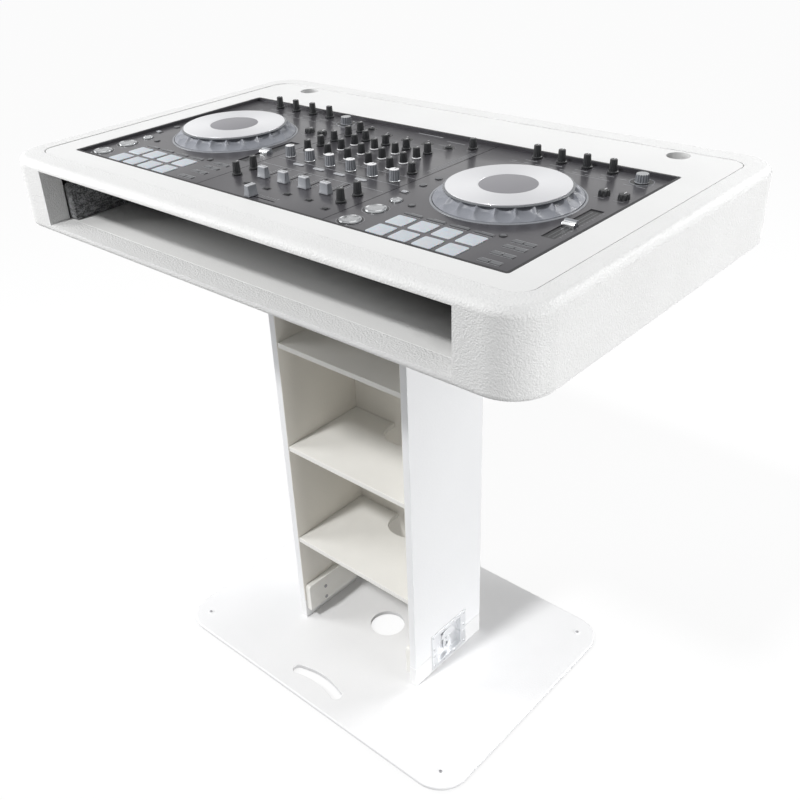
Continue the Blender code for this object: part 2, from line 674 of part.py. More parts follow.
def build_latch(name, side):
    """A recessed butterfly latch. Its cam turns and draws a hook up, which holds the pin on the kerb."""
    face = side * SIDE_OUTER
    rest = face + side * GAP
    out = rest + side * LATCH_FLANGE
    pan_bottom = face - side * LATCH_PAN_DEPTH
    pan_floor = pan_bottom + side * LATCH_PAN_WALL
    mid_floor = pan_bottom + side * LATCH_PAN_WALL / 2
    hook_back = pan_floor + side * LATCH_HOOK_LIFT
    hook_face = hook_back + side * LATCH_HOOK_THICKNESS
    cam_back = hook_face + side * GAP
    cam_face = cam_back + side * LATCH_CAM_THICKNESS
    barrel_x = cam_face + side * (LATCH_BARREL_RADIUS + GAP)
    hub_z = SEAM + LATCH_HUB_RISE
    pin_z = SEAM - LATCH_PIN_DROP

    post = (0.0, hub_z, cam_back - side * GAP)
    pin = (0.0, pin_z, pan_floor + side * LATCH_PIN_HEIGHT)
    build_latch_dish(f"latch_dish_{name}", side, 1, LATCH_ABOVE, post)
    build_latch_dish(f"latch_keeper_{name}", side, -1, LATCH_BELOW, pin)

    post_play = LATCH_POST_RADIUS + GAP
    pin_low = pin_z - post_play
    pin_high = pin_z + post_play + LATCH_HOOK_TRAVEL
    post_low = hub_z - post_play
    post_high = hub_z + post_play + LATCH_HOOK_TRAVEL
    low, high = sorted((hook_back, hook_face))
    bm = bmesh.new()
    add_box(bm, (low, -LATCH_HOOK_HALF_WIDTH, pin_low - LATCH_HOOK_EDGE),
            (high, LATCH_HOOK_HALF_WIDTH, post_high + LATCH_HOOK_EDGE))
    hook = piece(f"latch_hook_{name}", bm, STEEL, origin=(hook_back, 0.0, hub_z))
    bm = bmesh.new()
    for bottom, top in ((pin_low, pin_high), (post_low, post_high)):
        add_box(bm, (low - LATCH_HOOK_THICKNESS, -post_play, bottom),
                (high + LATCH_HOOK_THICKNESS, post_play, top))
    boolean(hook, bm)

    bm = bmesh.new()
    low, high = sorted((cam_back, cam_face))
    add_cylinder(bm, (0.0, hub_z), LATCH_CAM_RADIUS, low, high, 20, axis="x")
    cam = piece(f"latch_cam_{name}", bm, STEEL, origin=(cam_back, 0.0, hub_z))
    bm = bmesh.new()
    low, high = sorted((cam_back + side * LATCH_CAM_THICKNESS / 2, barrel_x + side * LATCH_LUG_HALF))
    for sign in (-1, 1):
        ys = sorted((sign * (LATCH_BARREL_HALF_LENGTH + GAP),
                     sign * (LATCH_BARREL_HALF_LENGTH + GAP + LATCH_LUG_THICKNESS)))
        add_box(bm, (low, ys[0], hub_z - LATCH_LUG_HALF), (high, ys[1], hub_z + LATCH_LUG_HALF))
    boolean(cam, bm, "UNION")

    low = barrel_x - LATCH_WING_THICKNESS / 2
    high = barrel_x + LATCH_WING_THICKNESS / 2
    start = math.asin(LATCH_WING_START / LATCH_WING_RADIUS)
    neck = LATCH_BARREL_HALF_LENGTH
    outline = [(neck, hub_z), (neck, hub_z + LATCH_WING_START)]
    for i in range(17):
        angle = start + (math.pi - 2 * start) * i / 16
        outline.append((LATCH_WING_RADIUS * math.cos(angle), hub_z + LATCH_WING_RADIUS * math.sin(angle)))
    outline += [(-neck, hub_z + LATCH_WING_START), (-neck, hub_z)]
    bm = bmesh.new()
    add_prism(bm, outline, low, high, axis="x")
    wing = piece(f"latch_wing_{name}", bm, STEEL, origin=(barrel_x, 0.0, hub_z))
    bm = bmesh.new()
    barrel = [(barrel_x + LATCH_BARREL_RADIUS * math.cos(math.radians(angle)),
               hub_z + LATCH_BARREL_RADIUS * math.sin(math.radians(angle))) for angle in range(15, 375, 30)]
    add_prism(bm, barrel, -neck, neck, axis="y")
    boolean(wing, bm, "UNION")


def build_latch_dish(name, side, upward, reach, pin):
    """Half of the recess: a flange on the panel's face and a pan behind it, open towards the seam."""
    face = side * SIDE_OUTER
    rest = face + side * GAP
    out = rest + side * LATCH_FLANGE
    pan_bottom = face - side * LATCH_PAN_DEPTH
    pan_floor = pan_bottom + side * LATCH_PAN_WALL
    seam = SEAM + upward * GAP
    far = SEAM + upward * reach
    pan_far = far - upward * LATCH_RIM
    half = LATCH_WIDTH / 2
    pan_half = LATCH_PAN_HALF_WIDTH

    xs = sorted((rest, out))
    zs = sorted((seam, far))
    bm = bmesh.new()
    add_box(bm, (xs[0], -half, zs[0]), (xs[1], half, zs[1]))
    dish = piece(name, bm, STEEL)
    xs = sorted((pan_bottom, rest + side * LATCH_FLANGE / 2))
    zs = sorted((seam, pan_far))
    bm = bmesh.new()
    add_box(bm, (xs[0], -pan_half, zs[0]), (xs[1], pan_half, zs[1]))
    boolean(dish, bm, "UNION")
    xs = sorted((pan_floor, out + side * LATCH_FLANGE))
    zs = sorted((seam - upward * LATCH_RIM, pan_far - upward * LATCH_PAN_WALL))
    bm = bmesh.new()
    add_box(bm, (xs[0], LATCH_PAN_WALL - pan_half, zs[0]), (xs[1], pan_half - LATCH_PAN_WALL, zs[1]))
    boolean(dish, bm)
    bm = bmesh.new()
    low, high = sorted((pan_bottom + side * LATCH_PAN_WALL / 2, pin[2]))
    add_cylinder(bm, pin[:2], LATCH_POST_RADIUS, low, high, 12, axis="x")
    boolean(dish, bm, "UNION")


def build_head():
    half_x = HEAD_WIDTH / 2
    half_y = HEAD_DEPTH / 2
    deck_x = half_x - RIM_WIDTH_SIDE
    deck_y = half_y - RIM_WIDTH_FRONT
    inner_corner = HEAD_CORNER_RADIUS - HEAD_WALL
    middle = (0.0, (HEAD_INNER_BACK + HEAD_INNER_FRONT) / 2)
    inner_half_y = (HEAD_INNER_BACK - HEAD_INNER_FRONT) / 2
    ledge_underside = RIM_UNDERSIDE - LEDGE_THICKNESS

    bm = bmesh.new()
    add_rounded_slab(bm, half_x, half_y, HEAD_BOTTOM, HEAD_TOP, HEAD_CORNER_RADIUS,
                     HEAD_BOTTOM_ROUND, HEAD_TOP_ROUND)
    shell = piece("head_shell", bm, WHITE_COAT, smooth=True)
    bm = bmesh.new()
    add_prism(bm, rounded_rectangle(HEAD_INNER_X, inner_half_y, inner_corner, middle),
              HEAD_BOTTOM - FLOOR_THICKNESS, ledge_underside)
    boolean(shell, bm)
    bm = bmesh.new()
    add_box(bm, (LEDGE_WIDTH - deck_x, HEAD_INNER_FRONT, ledge_underside - LEDGE_THICKNESS),
            (deck_x - LEDGE_WIDTH, deck_y - LEDGE_WIDTH, RIM_UNDERSIDE))
    boolean(shell, bm)
    bm = bmesh.new()
    add_prism(bm, rounded_rectangle(deck_x, deck_y, DECK_CORNER_RADIUS),
              RIM_UNDERSIDE - GAP, HEAD_TOP + RIM_THICKNESS)
    boolean(shell, bm)
    bm = bmesh.new()
    add_box(bm, (-TRAY_HALF_WIDTH, -half_y - FRONT_WALL, TRAY_FLOOR),
            (TRAY_HALF_WIDTH, HEAD_INNER_FRONT + GAP, RIM_UNDERSIDE))
    boolean(shell, bm)

    bm = bmesh.new()
    add_prism(bm, rounded_rectangle(HEAD_INNER_X - GAP, inner_half_y - GAP, inner_corner - GAP, middle),
              HEAD_BOTTOM, TRAY_FLOOR)
    floor = piece("head_floor", bm, WHITE_COAT)
    bm = bmesh.new()
    for x, y in bolt_places():
        add_cylinder(bm, (x, y), BOLT_SHANK_RADIUS + GAP, HEAD_BOTTOM - FLOOR_THICKNESS, bolt_tip() + GAP, 8)
    boolean(floor, bm)

    bm = bmesh.new()
    add_prism(bm, rounded_rectangle(deck_x - GAP, deck_y - GAP, DECK_CORNER_RADIUS - GAP),
              RIM_UNDERSIDE, DECK_TOP)
    deck = piece("top_deck", bm, WHITE_COAT)
    bm = bmesh.new()
    below = RIM_UNDERSIDE - RIM_THICKNESS
    above = HEAD_TOP + RIM_THICKNESS
    add_prism(bm, rounded_rectangle(CUTOUT_WIDTH / 2, CUTOUT_DEPTH / 2, CUTOUT_CORNER_RADIUS,
                                    (0.0, CUTOUT_CENTRE_Y), steps=4), below, above)
    for _, side in SIDES:
        add_cylinder(bm, (side * DECK_HOLE_X, DECK_HOLE_Y), DECK_HOLE_RADIUS, below, above, 28)
    boolean(deck, bm)


def build_support_boards():
    """Carpeted boards on the floor of the head, which carry the controller at its two ends."""
    low = TRAY_FLOOR + GAP
    start = HEAD_INNER_FRONT + SUPPORT_FRONT_INSET
    centre = (start + SUPPORT_LENGTH / 2, (SUPPORT_TOP + low) / 2)
    for name, side in SIDES:
        outer = TRAY_HALF_WIDTH - GAP
        xs = sorted((side * outer, side * (outer - SUPPORT_THICKNESS)))
        shape = rounded_rectangle(SUPPORT_LENGTH / 2, (SUPPORT_TOP - low) / 2, SUPPORT_ROUND, centre, 3)
        bm = bmesh.new()
        add_prism(bm, shape, xs[0], xs[1], axis="x")
        piece(f"support_board_{name}", bm, CARPET)


def deck_middles():
    return [(name, side * DECK_CENTRE_X) for name, side in SIDES]


def build_case():
    """The controller's lower shell: a tub under each deck, moulded feet and the pins of the jog wheels."""
    centre_y = (PLATE_FRONT + PLATE_BACK) / 2
    half_y = (PLATE_BACK - PLATE_FRONT) / 2
    top = PLATE_UNDERSIDE - GAP
    wall = CASE_WALL
    bm = bmesh.new()
    add_prism(bm, rounded_rectangle(PLATE_HALF_WIDTH, half_y, CUTOUT_CORNER_RADIUS, (0.0, centre_y), 3),
              CASE_BOTTOM, top)
    case = piece("controller_case", bm, BLACK_PLASTIC)
    tubs = bmesh.new()
    hollows = bmesh.new()
    for _, side in SIDES:
        xs = sorted((side * TUB_INNER_X, side * TUB_OUTER_X))
        ys = (PLATE_FRONT + TUB_END_INSET, PLATE_BACK - TUB_END_INSET)
        add_tub(tubs, xs, ys, TUB_BOTTOM, CASE_BOTTOM + wall * 0.5, 0.0)
        add_tub(hollows, xs, ys, TUB_BOTTOM + wall, CASE_BOTTOM + wall * 1.5, wall)
    boolean(case, tubs, "UNION")
    boolean(case, hollows)
    bm = bmesh.new()
    add_prism(bm, rounded_rectangle(PLATE_HALF_WIDTH - wall, half_y - wall, CUTOUT_CORNER_RADIUS - wall / 2,
                                    (0.0, centre_y), 3), CASE_BOTTOM + wall, top + wall)
    boolean(case, bm)

    bm = bmesh.new()
    foot = [(CASE_FOOT_RADIUS - CASE_FOOT_TAPER, TUB_BOTTOM - CASE_FOOT_HEIGHT),
            (CASE_FOOT_RADIUS, TUB_BOTTOM + wall / 2)]
    for _, side in SIDES:
        for x in (TUB_INNER_X + 3 * TUB_SLOPE, TUB_OUTER_X - 3 * TUB_SLOPE):
            for y in (PLATE_FRONT + 4 * TUB_SLOPE, PLATE_BACK - 4 * TUB_SLOPE):
                add_turned(bm, foot, (side * x, y), 10)
    for _, middle in deck_middles():
        root = TUB_BOTTOM + wall / 2
        add_turned(bm, [
            (SPINDLE_FOOT_RADIUS, root),
            (SPINDLE_FOOT_RADIUS, root + SPINDLE_FOOT_HEIGHT),
            (JOG_BORE_RADIUS - SPINDLE_CLEARANCE, root + SPINDLE_FOOT_HEIGHT),
            (JOG_BORE_RADIUS - SPINDLE_CLEARANCE, PLATE_TOP + JOG_BORE_DEPTH),
        ], (middle + JOG_X, row(JOG_Y)), 12)
    boolean(case, bm, "UNION")


def add_tub(bm, xs, ys, low, high, wall):
    """A hollow under one deck, narrower at the bottom than at the top."""
    slope = TUB_SLOPE
    rings = []
    for z, in_x, in_y in ((low, slope + wall, slope / 2 + wall), (high, wall, wall)):
        rings.append([(xs[0] + in_x, ys[0] + in_y, z), (xs[1] - in_x, ys[0] + in_y, z),
                      (xs[1] - in_x, ys[1] - in_y, z), (xs[0] + in_x, ys[1] - in_y, z)])
    add_loft(bm, rings)


def build_faceplate():
    half_y = (PLATE_BACK - PLATE_FRONT) / 2
    centre = (0.0, (PLATE_FRONT + PLATE_BACK) / 2)
    bm = bmesh.new()
    rings = []
    for height, inset in ((PLATE_UNDERSIDE, 0.0), (PLATE_TOP - PLATE_BEVEL, 0.0), (PLATE_TOP, PLATE_BEVEL)):
        outline = rounded_rectangle(PLATE_HALF_WIDTH - inset, half_y - inset, CUTOUT_CORNER_RADIUS - inset,
                                    centre, 3)
        rings.append([(x, y, height) for x, y in outline])
    add_loft(bm, rings)
    plate = piece("controller_faceplate", bm, GRAPHITE)

    bm = bmesh.new()
    bezel_inner = JOG_RADIUS + JOG_BEZEL_CLEARANCE
    for _, middle in deck_middles():
        add_ring(bm, (middle + JOG_X, row(JOG_Y)), bezel_inner, bezel_inner + JOG_BEZEL_WIDTH,
                 PLATE_TOP - PLATE_THICKNESS / 2, PLATE_TOP + JOG_BEZEL_RISE, 40)
    boolean(plate, bm, "UNION")

    bm = bmesh.new()
    below = PLATE_UNDERSIDE - PLATE_THICKNESS
    above = PLATE_TOP + PLATE_THICKNESS
    slot = SLOT_WIDTH / 2
    play = STEM_LENGTH / 2 + GAP * 2
    for x in CHANNELS:
        add_box(bm, (x - slot, row(FADER_ROW) - play, below),
                (x + slot, row(FADER_ROW) + FADER_TRAVEL + play, above))
    cross = row(CROSSFADER_ROW)
    add_box(bm, (-FADER_TRAVEL / 2 - play, cross - slot, below),
            (FADER_TRAVEL / 2 + play, cross + slot, above))
    for _, middle in deck_middles():
        x = middle + TEMPO_X
        add_box(bm, (x - slot, row(TEMPO_REST_Y) - TEMPO_TRAVEL_FRONT - play, below),
                (x + slot, row(TEMPO_REST_Y) + TEMPO_TRAVEL_BACK + play, above))
        add_cylinder(bm, (middle + JOG_X, row(JOG_Y)), JOG_BORE_RADIUS, below, above, 12)
        for _, button_x, y, radius in round_buttons(middle):
            add_cylinder(bm, (button_x, y), radius + BUTTON_CLEARANCE, below, above, 18)
        half = PAD_SIZE / 2 + PAD_CLEARANCE
        for x, y in pad_places(middle):
            add_box(bm, (x - half, y - half, below), (x + half, y + half, above))
    places = mixer_knobs() + mixer_buttons() + colour_knobs()
    for _, middle in deck_middles():
        places += deck_knobs(middle) + deck_buttons(middle) + [browse_knob(middle)]
    half = KNOB_SHAFT_RADIUS + KNOB_SHAFT_PLAY
    for x, y, *_ in places:
        add_box(bm, (x - half, y - half, below), (x + half, y + half, above))
    boolean(plate, bm)

    bm = bmesh.new()
    for _, middle in deck_middles():
        x = middle + TEMPO_X
        add_box(bm, (x - TEMPO_WELL_WIDTH / 2, row(TEMPO_WELL_Y) - TEMPO_WELL_LENGTH / 2,
                     PLATE_TOP - TEMPO_WELL_DEPTH),
                (x + TEMPO_WELL_WIDTH / 2, row(TEMPO_WELL_Y) + TEMPO_WELL_LENGTH / 2, above))
    boolean(plate, bm)


def add_ring(bm, centre, inner, outer, low, high, segments):
    """A flat ring, closed round on itself."""
    profile = [(inner, low), (outer, low), (outer, high), (inner, high)]
    loops = []
    for i in range(segments):
        angle = 2 * math.pi * i / segments
        loops.append([bm.verts.new((centre[0] + r * math.cos(angle), centre[1] + r * math.sin(angle), z))
                      for r, z in profile])
    for i in range(segments):
        here, there = loops[i], loops[(i + 1) % segments]
        for k in range(4):
            m = (k + 1) % 4
            bm.faces.new((here[k], there[k], there[m], here[m]))


def pad_places(middle):
    places = []
    for j in (-0.5, 0.5):
        for i in (-1.5, -0.5, 0.5, 1.5):
            places.append((middle + PAD_X + PAD_PITCH * i, row(PAD_Y) + PAD_PITCH * j))
    return places


def round_buttons(middle):
    """(name, x, y, radius) of the round buttons of a deck that move on their own."""
    return [("cue", middle + PLAY_X, row(CUE_Y), BUTTON_RADIUS),
            ("play", middle + PLAY_X, row(PLAY_Y), BUTTON_RADIUS),
            ("sync", middle + PLAY_X, row(SYNC_Y), SYNC_BUTTON_RADIUS)]


def mixer_knobs():
    """(x, y, skirt radius, skirt height, top radius, height) of each knob on the mixer's board."""
    equaliser = (EQ_SKIRT_RADIUS, EQ_SKIRT_HEIGHT, KNOB_TOP_RADIUS, EQ_KNOB_HEIGHT)
    plain = (KNOB_SKIRT_RADIUS, KNOB_SKIRT_HEIGHT, KNOB_TOP_RADIUS, EQ_KNOB_HEIGHT)
    tall = (KNOB_SKIRT_RADIUS, KNOB_SKIRT_HEIGHT, KNOB_TOP_RADIUS, KNOB_HEIGHT)
    selector = (SELECTOR_RADIUS, SELECTOR_HEIGHT / 2, SELECTOR_RADIUS - KNOB_TAPER, SELECTOR_HEIGHT)
    places = []
    for x in CHANNELS:
        places += [(x, row(distance), *equaliser) for distance in EQ_ROWS]
        places.append((x, row(TRIM_ROW), *plain))
        places.append((x + SELECTOR_SHIFT, row(SELECTOR_ROW), *selector))
    places += [(MIC_COLUMN, row(distance), *plain) for distance in MICROPHONE_ROWS]
    places += [(MASTER_COLUMN, row(distance), *plain) for distance in MASTER_ROWS]
    for column in (MIC_COLUMN, MASTER_COLUMN):
        places += [(column, row(distance), *tall) for distance in OUTER_TALL_ROWS]
    return places


def deck_knobs(middle):
    tall = (KNOB_SKIRT_RADIUS, KNOB_SKIRT_HEIGHT, KNOB_TOP_RADIUS, KNOB_HEIGHT)
    flat = (LOW_KNOB_RADIUS, LOW_KNOB_HEIGHT / 2, LOW_KNOB_RADIUS - KNOB_TAPER, LOW_KNOB_HEIGHT)
    places = [(middle + shift, row(EFFECT_Y), *tall) for shift in EFFECT_X]
    places += [(middle + shift, row(LOW_KNOB_Y), *flat) for shift in LOW_KNOB_X]
    return places


def mixer_buttons():
    """(x, y, length, width) of each small button. A round one has no width, and its diameter as length."""
    places = []
    for x in CHANNELS:
        places.append((x, row(SWITCH_ROW), SWITCH_SIZE, SWITCH_SIZE))
        places.append((x, row(CUE_LIGHT_ROW), CUE_LIGHT_LENGTH, CUE_LIGHT_WIDTH))
    places.append((MASTER_COLUMN, row(SWITCH_ROW_LAST), SWITCH_SIZE, SWITCH_SIZE))
    return places


def deck_buttons(middle):
    round_size = 2 * LOOP_BUTTON_RADIUS
    places = [(middle + SLIP_X, row(SLIP_Y), round_size, None),
              (middle + DISPLAY_BUTTON_X, row(DISPLAY_BUTTON_Y), round_size, None),
              (middle + SHIFT_X, row(SHIFT_Y), SHIFT_LENGTH, SHIFT_WIDTH)]
    places += [(middle + LOOP_X, row(distance), round_size, None) for distance in LOOP_ROWS]
    places += [(middle + CORNER_BUTTON_X, row(distance), BAR_BUTTON_LENGTH, BAR_BUTTON_WIDTH)
               for distance in CORNER_BUTTON_ROWS]
    return places


def colour_knobs():
    return [(CHANNEL_CENTRE_X + CHANNEL_PITCH * (i - 2.5), row(COLOUR_ROW)) for i in range(6)]


def browse_knob(middle):
    return (middle + BROWSE_X, row(BROWSE_Y))


def add_knob(bm, root, place):
    """A knob on its shaft, which comes up from the board through the plate."""
    x, y, skirt_radius, skirt_height, top_radius, height = place
    low = PLATE_TOP + GAP
    profile = [
        (KNOB_SHAFT_RADIUS, root),
        (KNOB_SHAFT_RADIUS, low),
        (skirt_radius, low),
        (top_radius + KNOB_TAPER, low + skirt_height),
        (top_radius, low + height),
    ]
    add_turned(bm, profile, (x, y), 8)


def add_button(bm, root, place):
    """A small button on its stem, which comes up from the board through the plate."""
    x, y, length, width = place
    low = PLATE_TOP + GAP
    high = low + SMALL_BUTTON_RISE
    stem = BUTTON_STEM_HALF
    if width is None:
        add_turned(bm, [(stem, root), (stem, low), (length / 2, low), (length / 2, high)], (x, y), 10)
        return
    rings = []
    for half_x, half_y, z in ((stem, stem, root), (stem, stem, low),
                              (length / 2, width / 2, low), (length / 2, width / 2, high)):
        rings.append([(x - half_x, y - half_y, z), (x + half_x, y - half_y, z),
                      (x + half_x, y + half_y, z), (x - half_x, y + half_y, z)])
    add_loft(bm, rings)


def add_pillars(bm, xs, inset, foot, root):
    for x in xs:
        for y in (PLATE_FRONT + inset, PLATE_BACK - inset):
            add_box(bm, (x - PILLAR_HALF, y - PILLAR_HALF, foot), (x + PILLAR_HALF, y + PILLAR_HALF, root))


def build_boards():
    """Circuit boards on pillars, with slider bodies, switches, and the knobs and small buttons on them."""
    inset = CASE_WALL + BOARD_INSET
    low = BOARD_TOP - BOARD_THICKNESS
    root = BOARD_TOP - BOARD_THICKNESS / 2
    front = PLATE_FRONT + inset
    back = PLATE_BACK - inset
    under_stem = PLATE_TOP - STEM_DEPTH - GAP
    half = SLIDER_BODY_HALF_WIDTH
    play = STEM_LENGTH

    bm = bmesh.new()
    add_box(bm, (-BOARD_SPLIT, front, low), (BOARD_SPLIT, back, BOARD_TOP))
    board = piece("mixer_board", bm, CIRCUIT)
    bm = bmesh.new()
    for x in CHANNELS:
        add_box(bm, (x - half, row(FADER_ROW) - play, root),
                (x + half, row(FADER_ROW) + FADER_TRAVEL + play, under_stem))
    cross = row(CROSSFADER_ROW)
    add_box(bm, (-FADER_TRAVEL / 2 - play, cross - half, root),
            (FADER_TRAVEL / 2 + play, cross + half, under_stem))
    for place in mixer_knobs():
        add_knob(bm, root, place)
    for place in mixer_buttons():
        add_button(bm, root, place)
    pillar_x = TUB_INNER_X - 4 * PILLAR_HALF
    add_pillars(bm, (-pillar_x, pillar_x), inset + 2 * PILLAR_HALF, CASE_BOTTOM + CASE_WALL + GAP, root)
    boolean(board, bm, "UNION")

    for name, middle in deck_middles():
        side = math.copysign(1, middle)
        xs = sorted((side * (BOARD_SPLIT + BOARD_SPLIT_GAP), side * (PLATE_HALF_WIDTH - inset)))
        bm = bmesh.new()
        add_box(bm, (xs[0], front, low), (xs[1], back, BOARD_TOP))
        board = piece(f"deck_board_{name}", bm, CIRCUIT)
        bm = bmesh.new()
        x = middle + TEMPO_X
        add_box(bm, (x - half, row(TEMPO_REST_Y) - TEMPO_TRAVEL_FRONT - play, root),
                (x + half, row(TEMPO_REST_Y) + TEMPO_TRAVEL_BACK + play, under_stem))
        under_button = PLATE_TOP + BUTTON_RISE - BUTTON_DEPTH - BUTTON_TRAVEL - GAP
        for _, button_x, y, radius in round_buttons(middle):
            add_cylinder(bm, (button_x, y), radius / 2, root, under_button, 8)
        under_mat = PLATE_UNDERSIDE - GAP - MAT_THICKNESS - PAD_TRAVEL - GAP
        for pad_x, y in pad_places(middle):
            add_box(bm, (pad_x - PILLAR_HALF, y - PILLAR_HALF, root),
                    (pad_x + PILLAR_HALF, y + PILLAR_HALF, under_mat))
        for place in deck_knobs(middle):
            add_knob(bm, root, place)
        for place in deck_buttons(middle):
            add_button(bm, root, place)
        tub_floor = TUB_BOTTOM + CASE_WALL + GAP
        pillar_xs = (side * (TUB_INNER_X + 3 * TUB_SLOPE), side * (TUB_OUTER_X - 3 * TUB_SLOPE))
        add_pillars(bm, pillar_xs, 4 * TUB_SLOPE, tub_floor, root)
        boolean(board, bm, "UNION")
        bm = bmesh.new()
        add_cylinder(bm, (middle + JOG_X, row(JOG_Y)), SPINDLE_FOOT_RADIUS + GAP, CASE_BOTTOM, PLATE_TOP, 14)
        boolean(board, bm)


def build_jogs():
    rest = PLATE_TOP + GAP
    for name, middle in deck_middles():
        x = middle + JOG_X
        y = row(JOG_Y)
        bm = bmesh.new()
        add_jog_wheel(bm, (x, y), rest, PLATE_TOP + JOG_RISE)
        wheel = piece(f"jog_wheel_{name}", bm, WHITE_DISC, origin=(x, y, rest), smooth=True)
        bm = bmesh.new()
        add_cylinder(bm, (x, y), JOG_BORE_RADIUS, rest - JOG_BORE_DEPTH, PLATE_TOP + JOG_BORE_DEPTH + GAP, 12)
        boolean(wheel, bm)


def add_jog_wheel(bm, centre, low, high):
    """A conical wheel whose side is scooped out into finger dimples, with a flat top disc."""
    segments = JOG_DIMPLES * 2
    shoulder = low + JOG_SHOULDER_RISE
    slope_top = shoulder - JOG_LIP
    slope_low = low + JOG_SKIRT
    levels = (
        (JOG_RADIUS, low, 0.0),
        (JOG_RADIUS, slope_low, 0.0),
        ((JOG_RADIUS + JOG_SHOULDER_RADIUS) / 2, (slope_low + slope_top) / 2, JOG_DIMPLE_DEPTH),
        (JOG_SHOULDER_RADIUS, slope_top, JOG_DIMPLE_RUNOUT),
        (JOG_DISC_RADIUS, shoulder, 0.0),
        (JOG_DISC_RADIUS, high - JOG_DISC_STEP, 0.0),
        (JOG_DISC_RADIUS - JOG_DISC_STEP, high, 0.0),
    )
    rings = []
    for radius, height, scoop in levels:
        ring = []
        for i in range(segments):
            angle = 2 * math.pi * i / segments
            reach = radius - scoop * (i % 2)
            ring.append((centre[0] + reach * math.cos(angle), centre[1] + reach * math.sin(angle), height))
        rings.append(ring)
    add_loft(bm, rings)


def build_turning_knobs():
    low = PLATE_TOP + GAP
    shaft_low = BOARD_TOP + GAP
    for i, (x, y) in enumerate(colour_knobs()):
        bm = bmesh.new()
        add_turned(bm, [
            (KNOB_SHAFT_RADIUS, shaft_low),
            (KNOB_SHAFT_RADIUS, low),
            (COLOUR_KNOB_RADIUS, low),
            (COLOUR_KNOB_TOP_RADIUS, low + COLOUR_KNOB_HEIGHT - COLOUR_KNOB_EDGE),
            (COLOUR_KNOB_TOP_RADIUS - COLOUR_KNOB_EDGE, low + COLOUR_KNOB_HEIGHT),
        ], (x, y), 14)
        piece(f"colour_knob_{i + 1}", bm, SILVER, origin=(x, y, low), smooth=True)
    for name, middle in deck_middles():
        x, y = browse_knob(middle)
        bm = bmesh.new()
        add_turned(bm, [
            (KNOB_SHAFT_RADIUS, shaft_low),
            (KNOB_SHAFT_RADIUS, low),
            (BROWSE_KNOB_RADIUS, low),
            (BROWSE_KNOB_TOP_RADIUS, low + BROWSE_KNOB_HEIGHT - COLOUR_KNOB_EDGE),
            (BROWSE_KNOB_TOP_RADIUS - COLOUR_KNOB_EDGE, low + BROWSE_KNOB_HEIGHT),
        ], (x, y), 14)
        piece(f"browse_knob_{name}", bm, SILVER, origin=(x, y, low), smooth=True)


def build_slider(name, centre, size, height, taper, seat, along):
    """A tapered finger cap on a thin stem, which drops through the slot into the slider's body."""
    low = seat + GAP
    half_x = size[0] / 2
    half_y = size[1] / 2
    rings = []
    long_taper = taper / 2
    top_inset = (long_taper, taper) if size[0] > size[1] else (taper, long_taper)
    for z, inset_x, inset_y in ((low, 0.0, 0.0), (low + CAP_FOOT, 0.0, 0.0), (low + height, *top_inset)):
        rings.append([(centre[0] + sign_x * (half_x - inset_x), centre[1] + sign_y * (half_y - inset_y), z)
                      for sign_x, sign_y in ((-1, -1), (1, -1), (1, 1), (-1, 1))])
    bm = bmesh.new()
    add_loft(bm, rings)
    cap = piece(name, bm, SILVER, origin=(centre[0], centre[1], low))
    stem_x, stem_y = (STEM_LENGTH, STEM_WIDTH) if along == "x" else (STEM_WIDTH, STEM_LENGTH)
    bm = bmesh.new()
    add_box(bm, (centre[0] - stem_x / 2, centre[1] - stem_y / 2, PLATE_TOP - STEM_DEPTH),
            (centre[0] + stem_x / 2, centre[1] + stem_y / 2, low + height / 2))
    boolean(cap, bm, "UNION")


def build_sliders():
    long_y = (FADER_CAP_LONG, FADER_CAP_SHORT)
    for i, x in enumerate(CHANNELS):
        build_slider(f"channel_fader_{i + 1}", (x, row(FADER_ROW)), long_y,
                     FADER_CAP_HEIGHT, FADER_CAP_TAPER, PLATE_TOP, "y")
    build_slider("crossfader", (-FADER_TRAVEL / 2, row(CROSSFADER_ROW)), long_y[::-1],
                 FADER_CAP_HEIGHT, FADER_CAP_TAPER, PLATE_TOP, "x")
    for name, middle in deck_middles():
        build_slider(f"tempo_slider_{name}", (middle + TEMPO_X, row(TEMPO_REST_Y)),
                     (TEMPO_CAP_WIDTH, TEMPO_CAP_LENGTH), TEMPO_CAP_HEIGHT, TEMPO_CAP_TAPER,
                     PLATE_TOP - TEMPO_WELL_DEPTH, "y")


def build_round_buttons():
    top = PLATE_TOP + BUTTON_RISE
    bottom = top - BUTTON_DEPTH
    for name, middle in deck_middles():
        for kind, x, y, radius in round_buttons(middle):
            bm = bmesh.new()
            profile = [(radius, bottom), (radius, top - BUTTON_EDGE), (radius - BUTTON_EDGE, top)]
            add_turned(bm, profile, (x, y), 18)
            piece(f"{kind}_button_{name}", bm, SILVER, origin=(x, y, bottom), smooth=True)


def build_pads():
    """One moulded mat for each deck: eight pads that stand through the plate's windows, on one thin sheet."""
    sheet_top = PLATE_UNDERSIDE - GAP
    sheet_low = sheet_top - MAT_THICKNESS
    for name, middle in deck_middles():
        x = middle + PAD_X
        y = row(PAD_Y)
        bm = bmesh.new()
        add_box(bm, (x - PAD_PITCH * 2, y - PAD_PITCH, sheet_low),
                (x + PAD_PITCH * 2, y + PAD_PITCH, sheet_top))
        mat = piece(f"pad_mat_{name}", bm, PAD_RUBBER, origin=(x, y, sheet_low))
        bm = bmesh.new()
        for pad_x, pad_y in pad_places(middle):
            outline = rounded_rectangle(PAD_SIZE / 2, PAD_SIZE / 2, PAD_CORNER_RADIUS, (pad_x, pad_y), 1)
            add_prism(bm, outline, sheet_top - MAT_THICKNESS / 2, PLATE_TOP + PAD_RISE)
        boolean(mat, bm, "UNION")


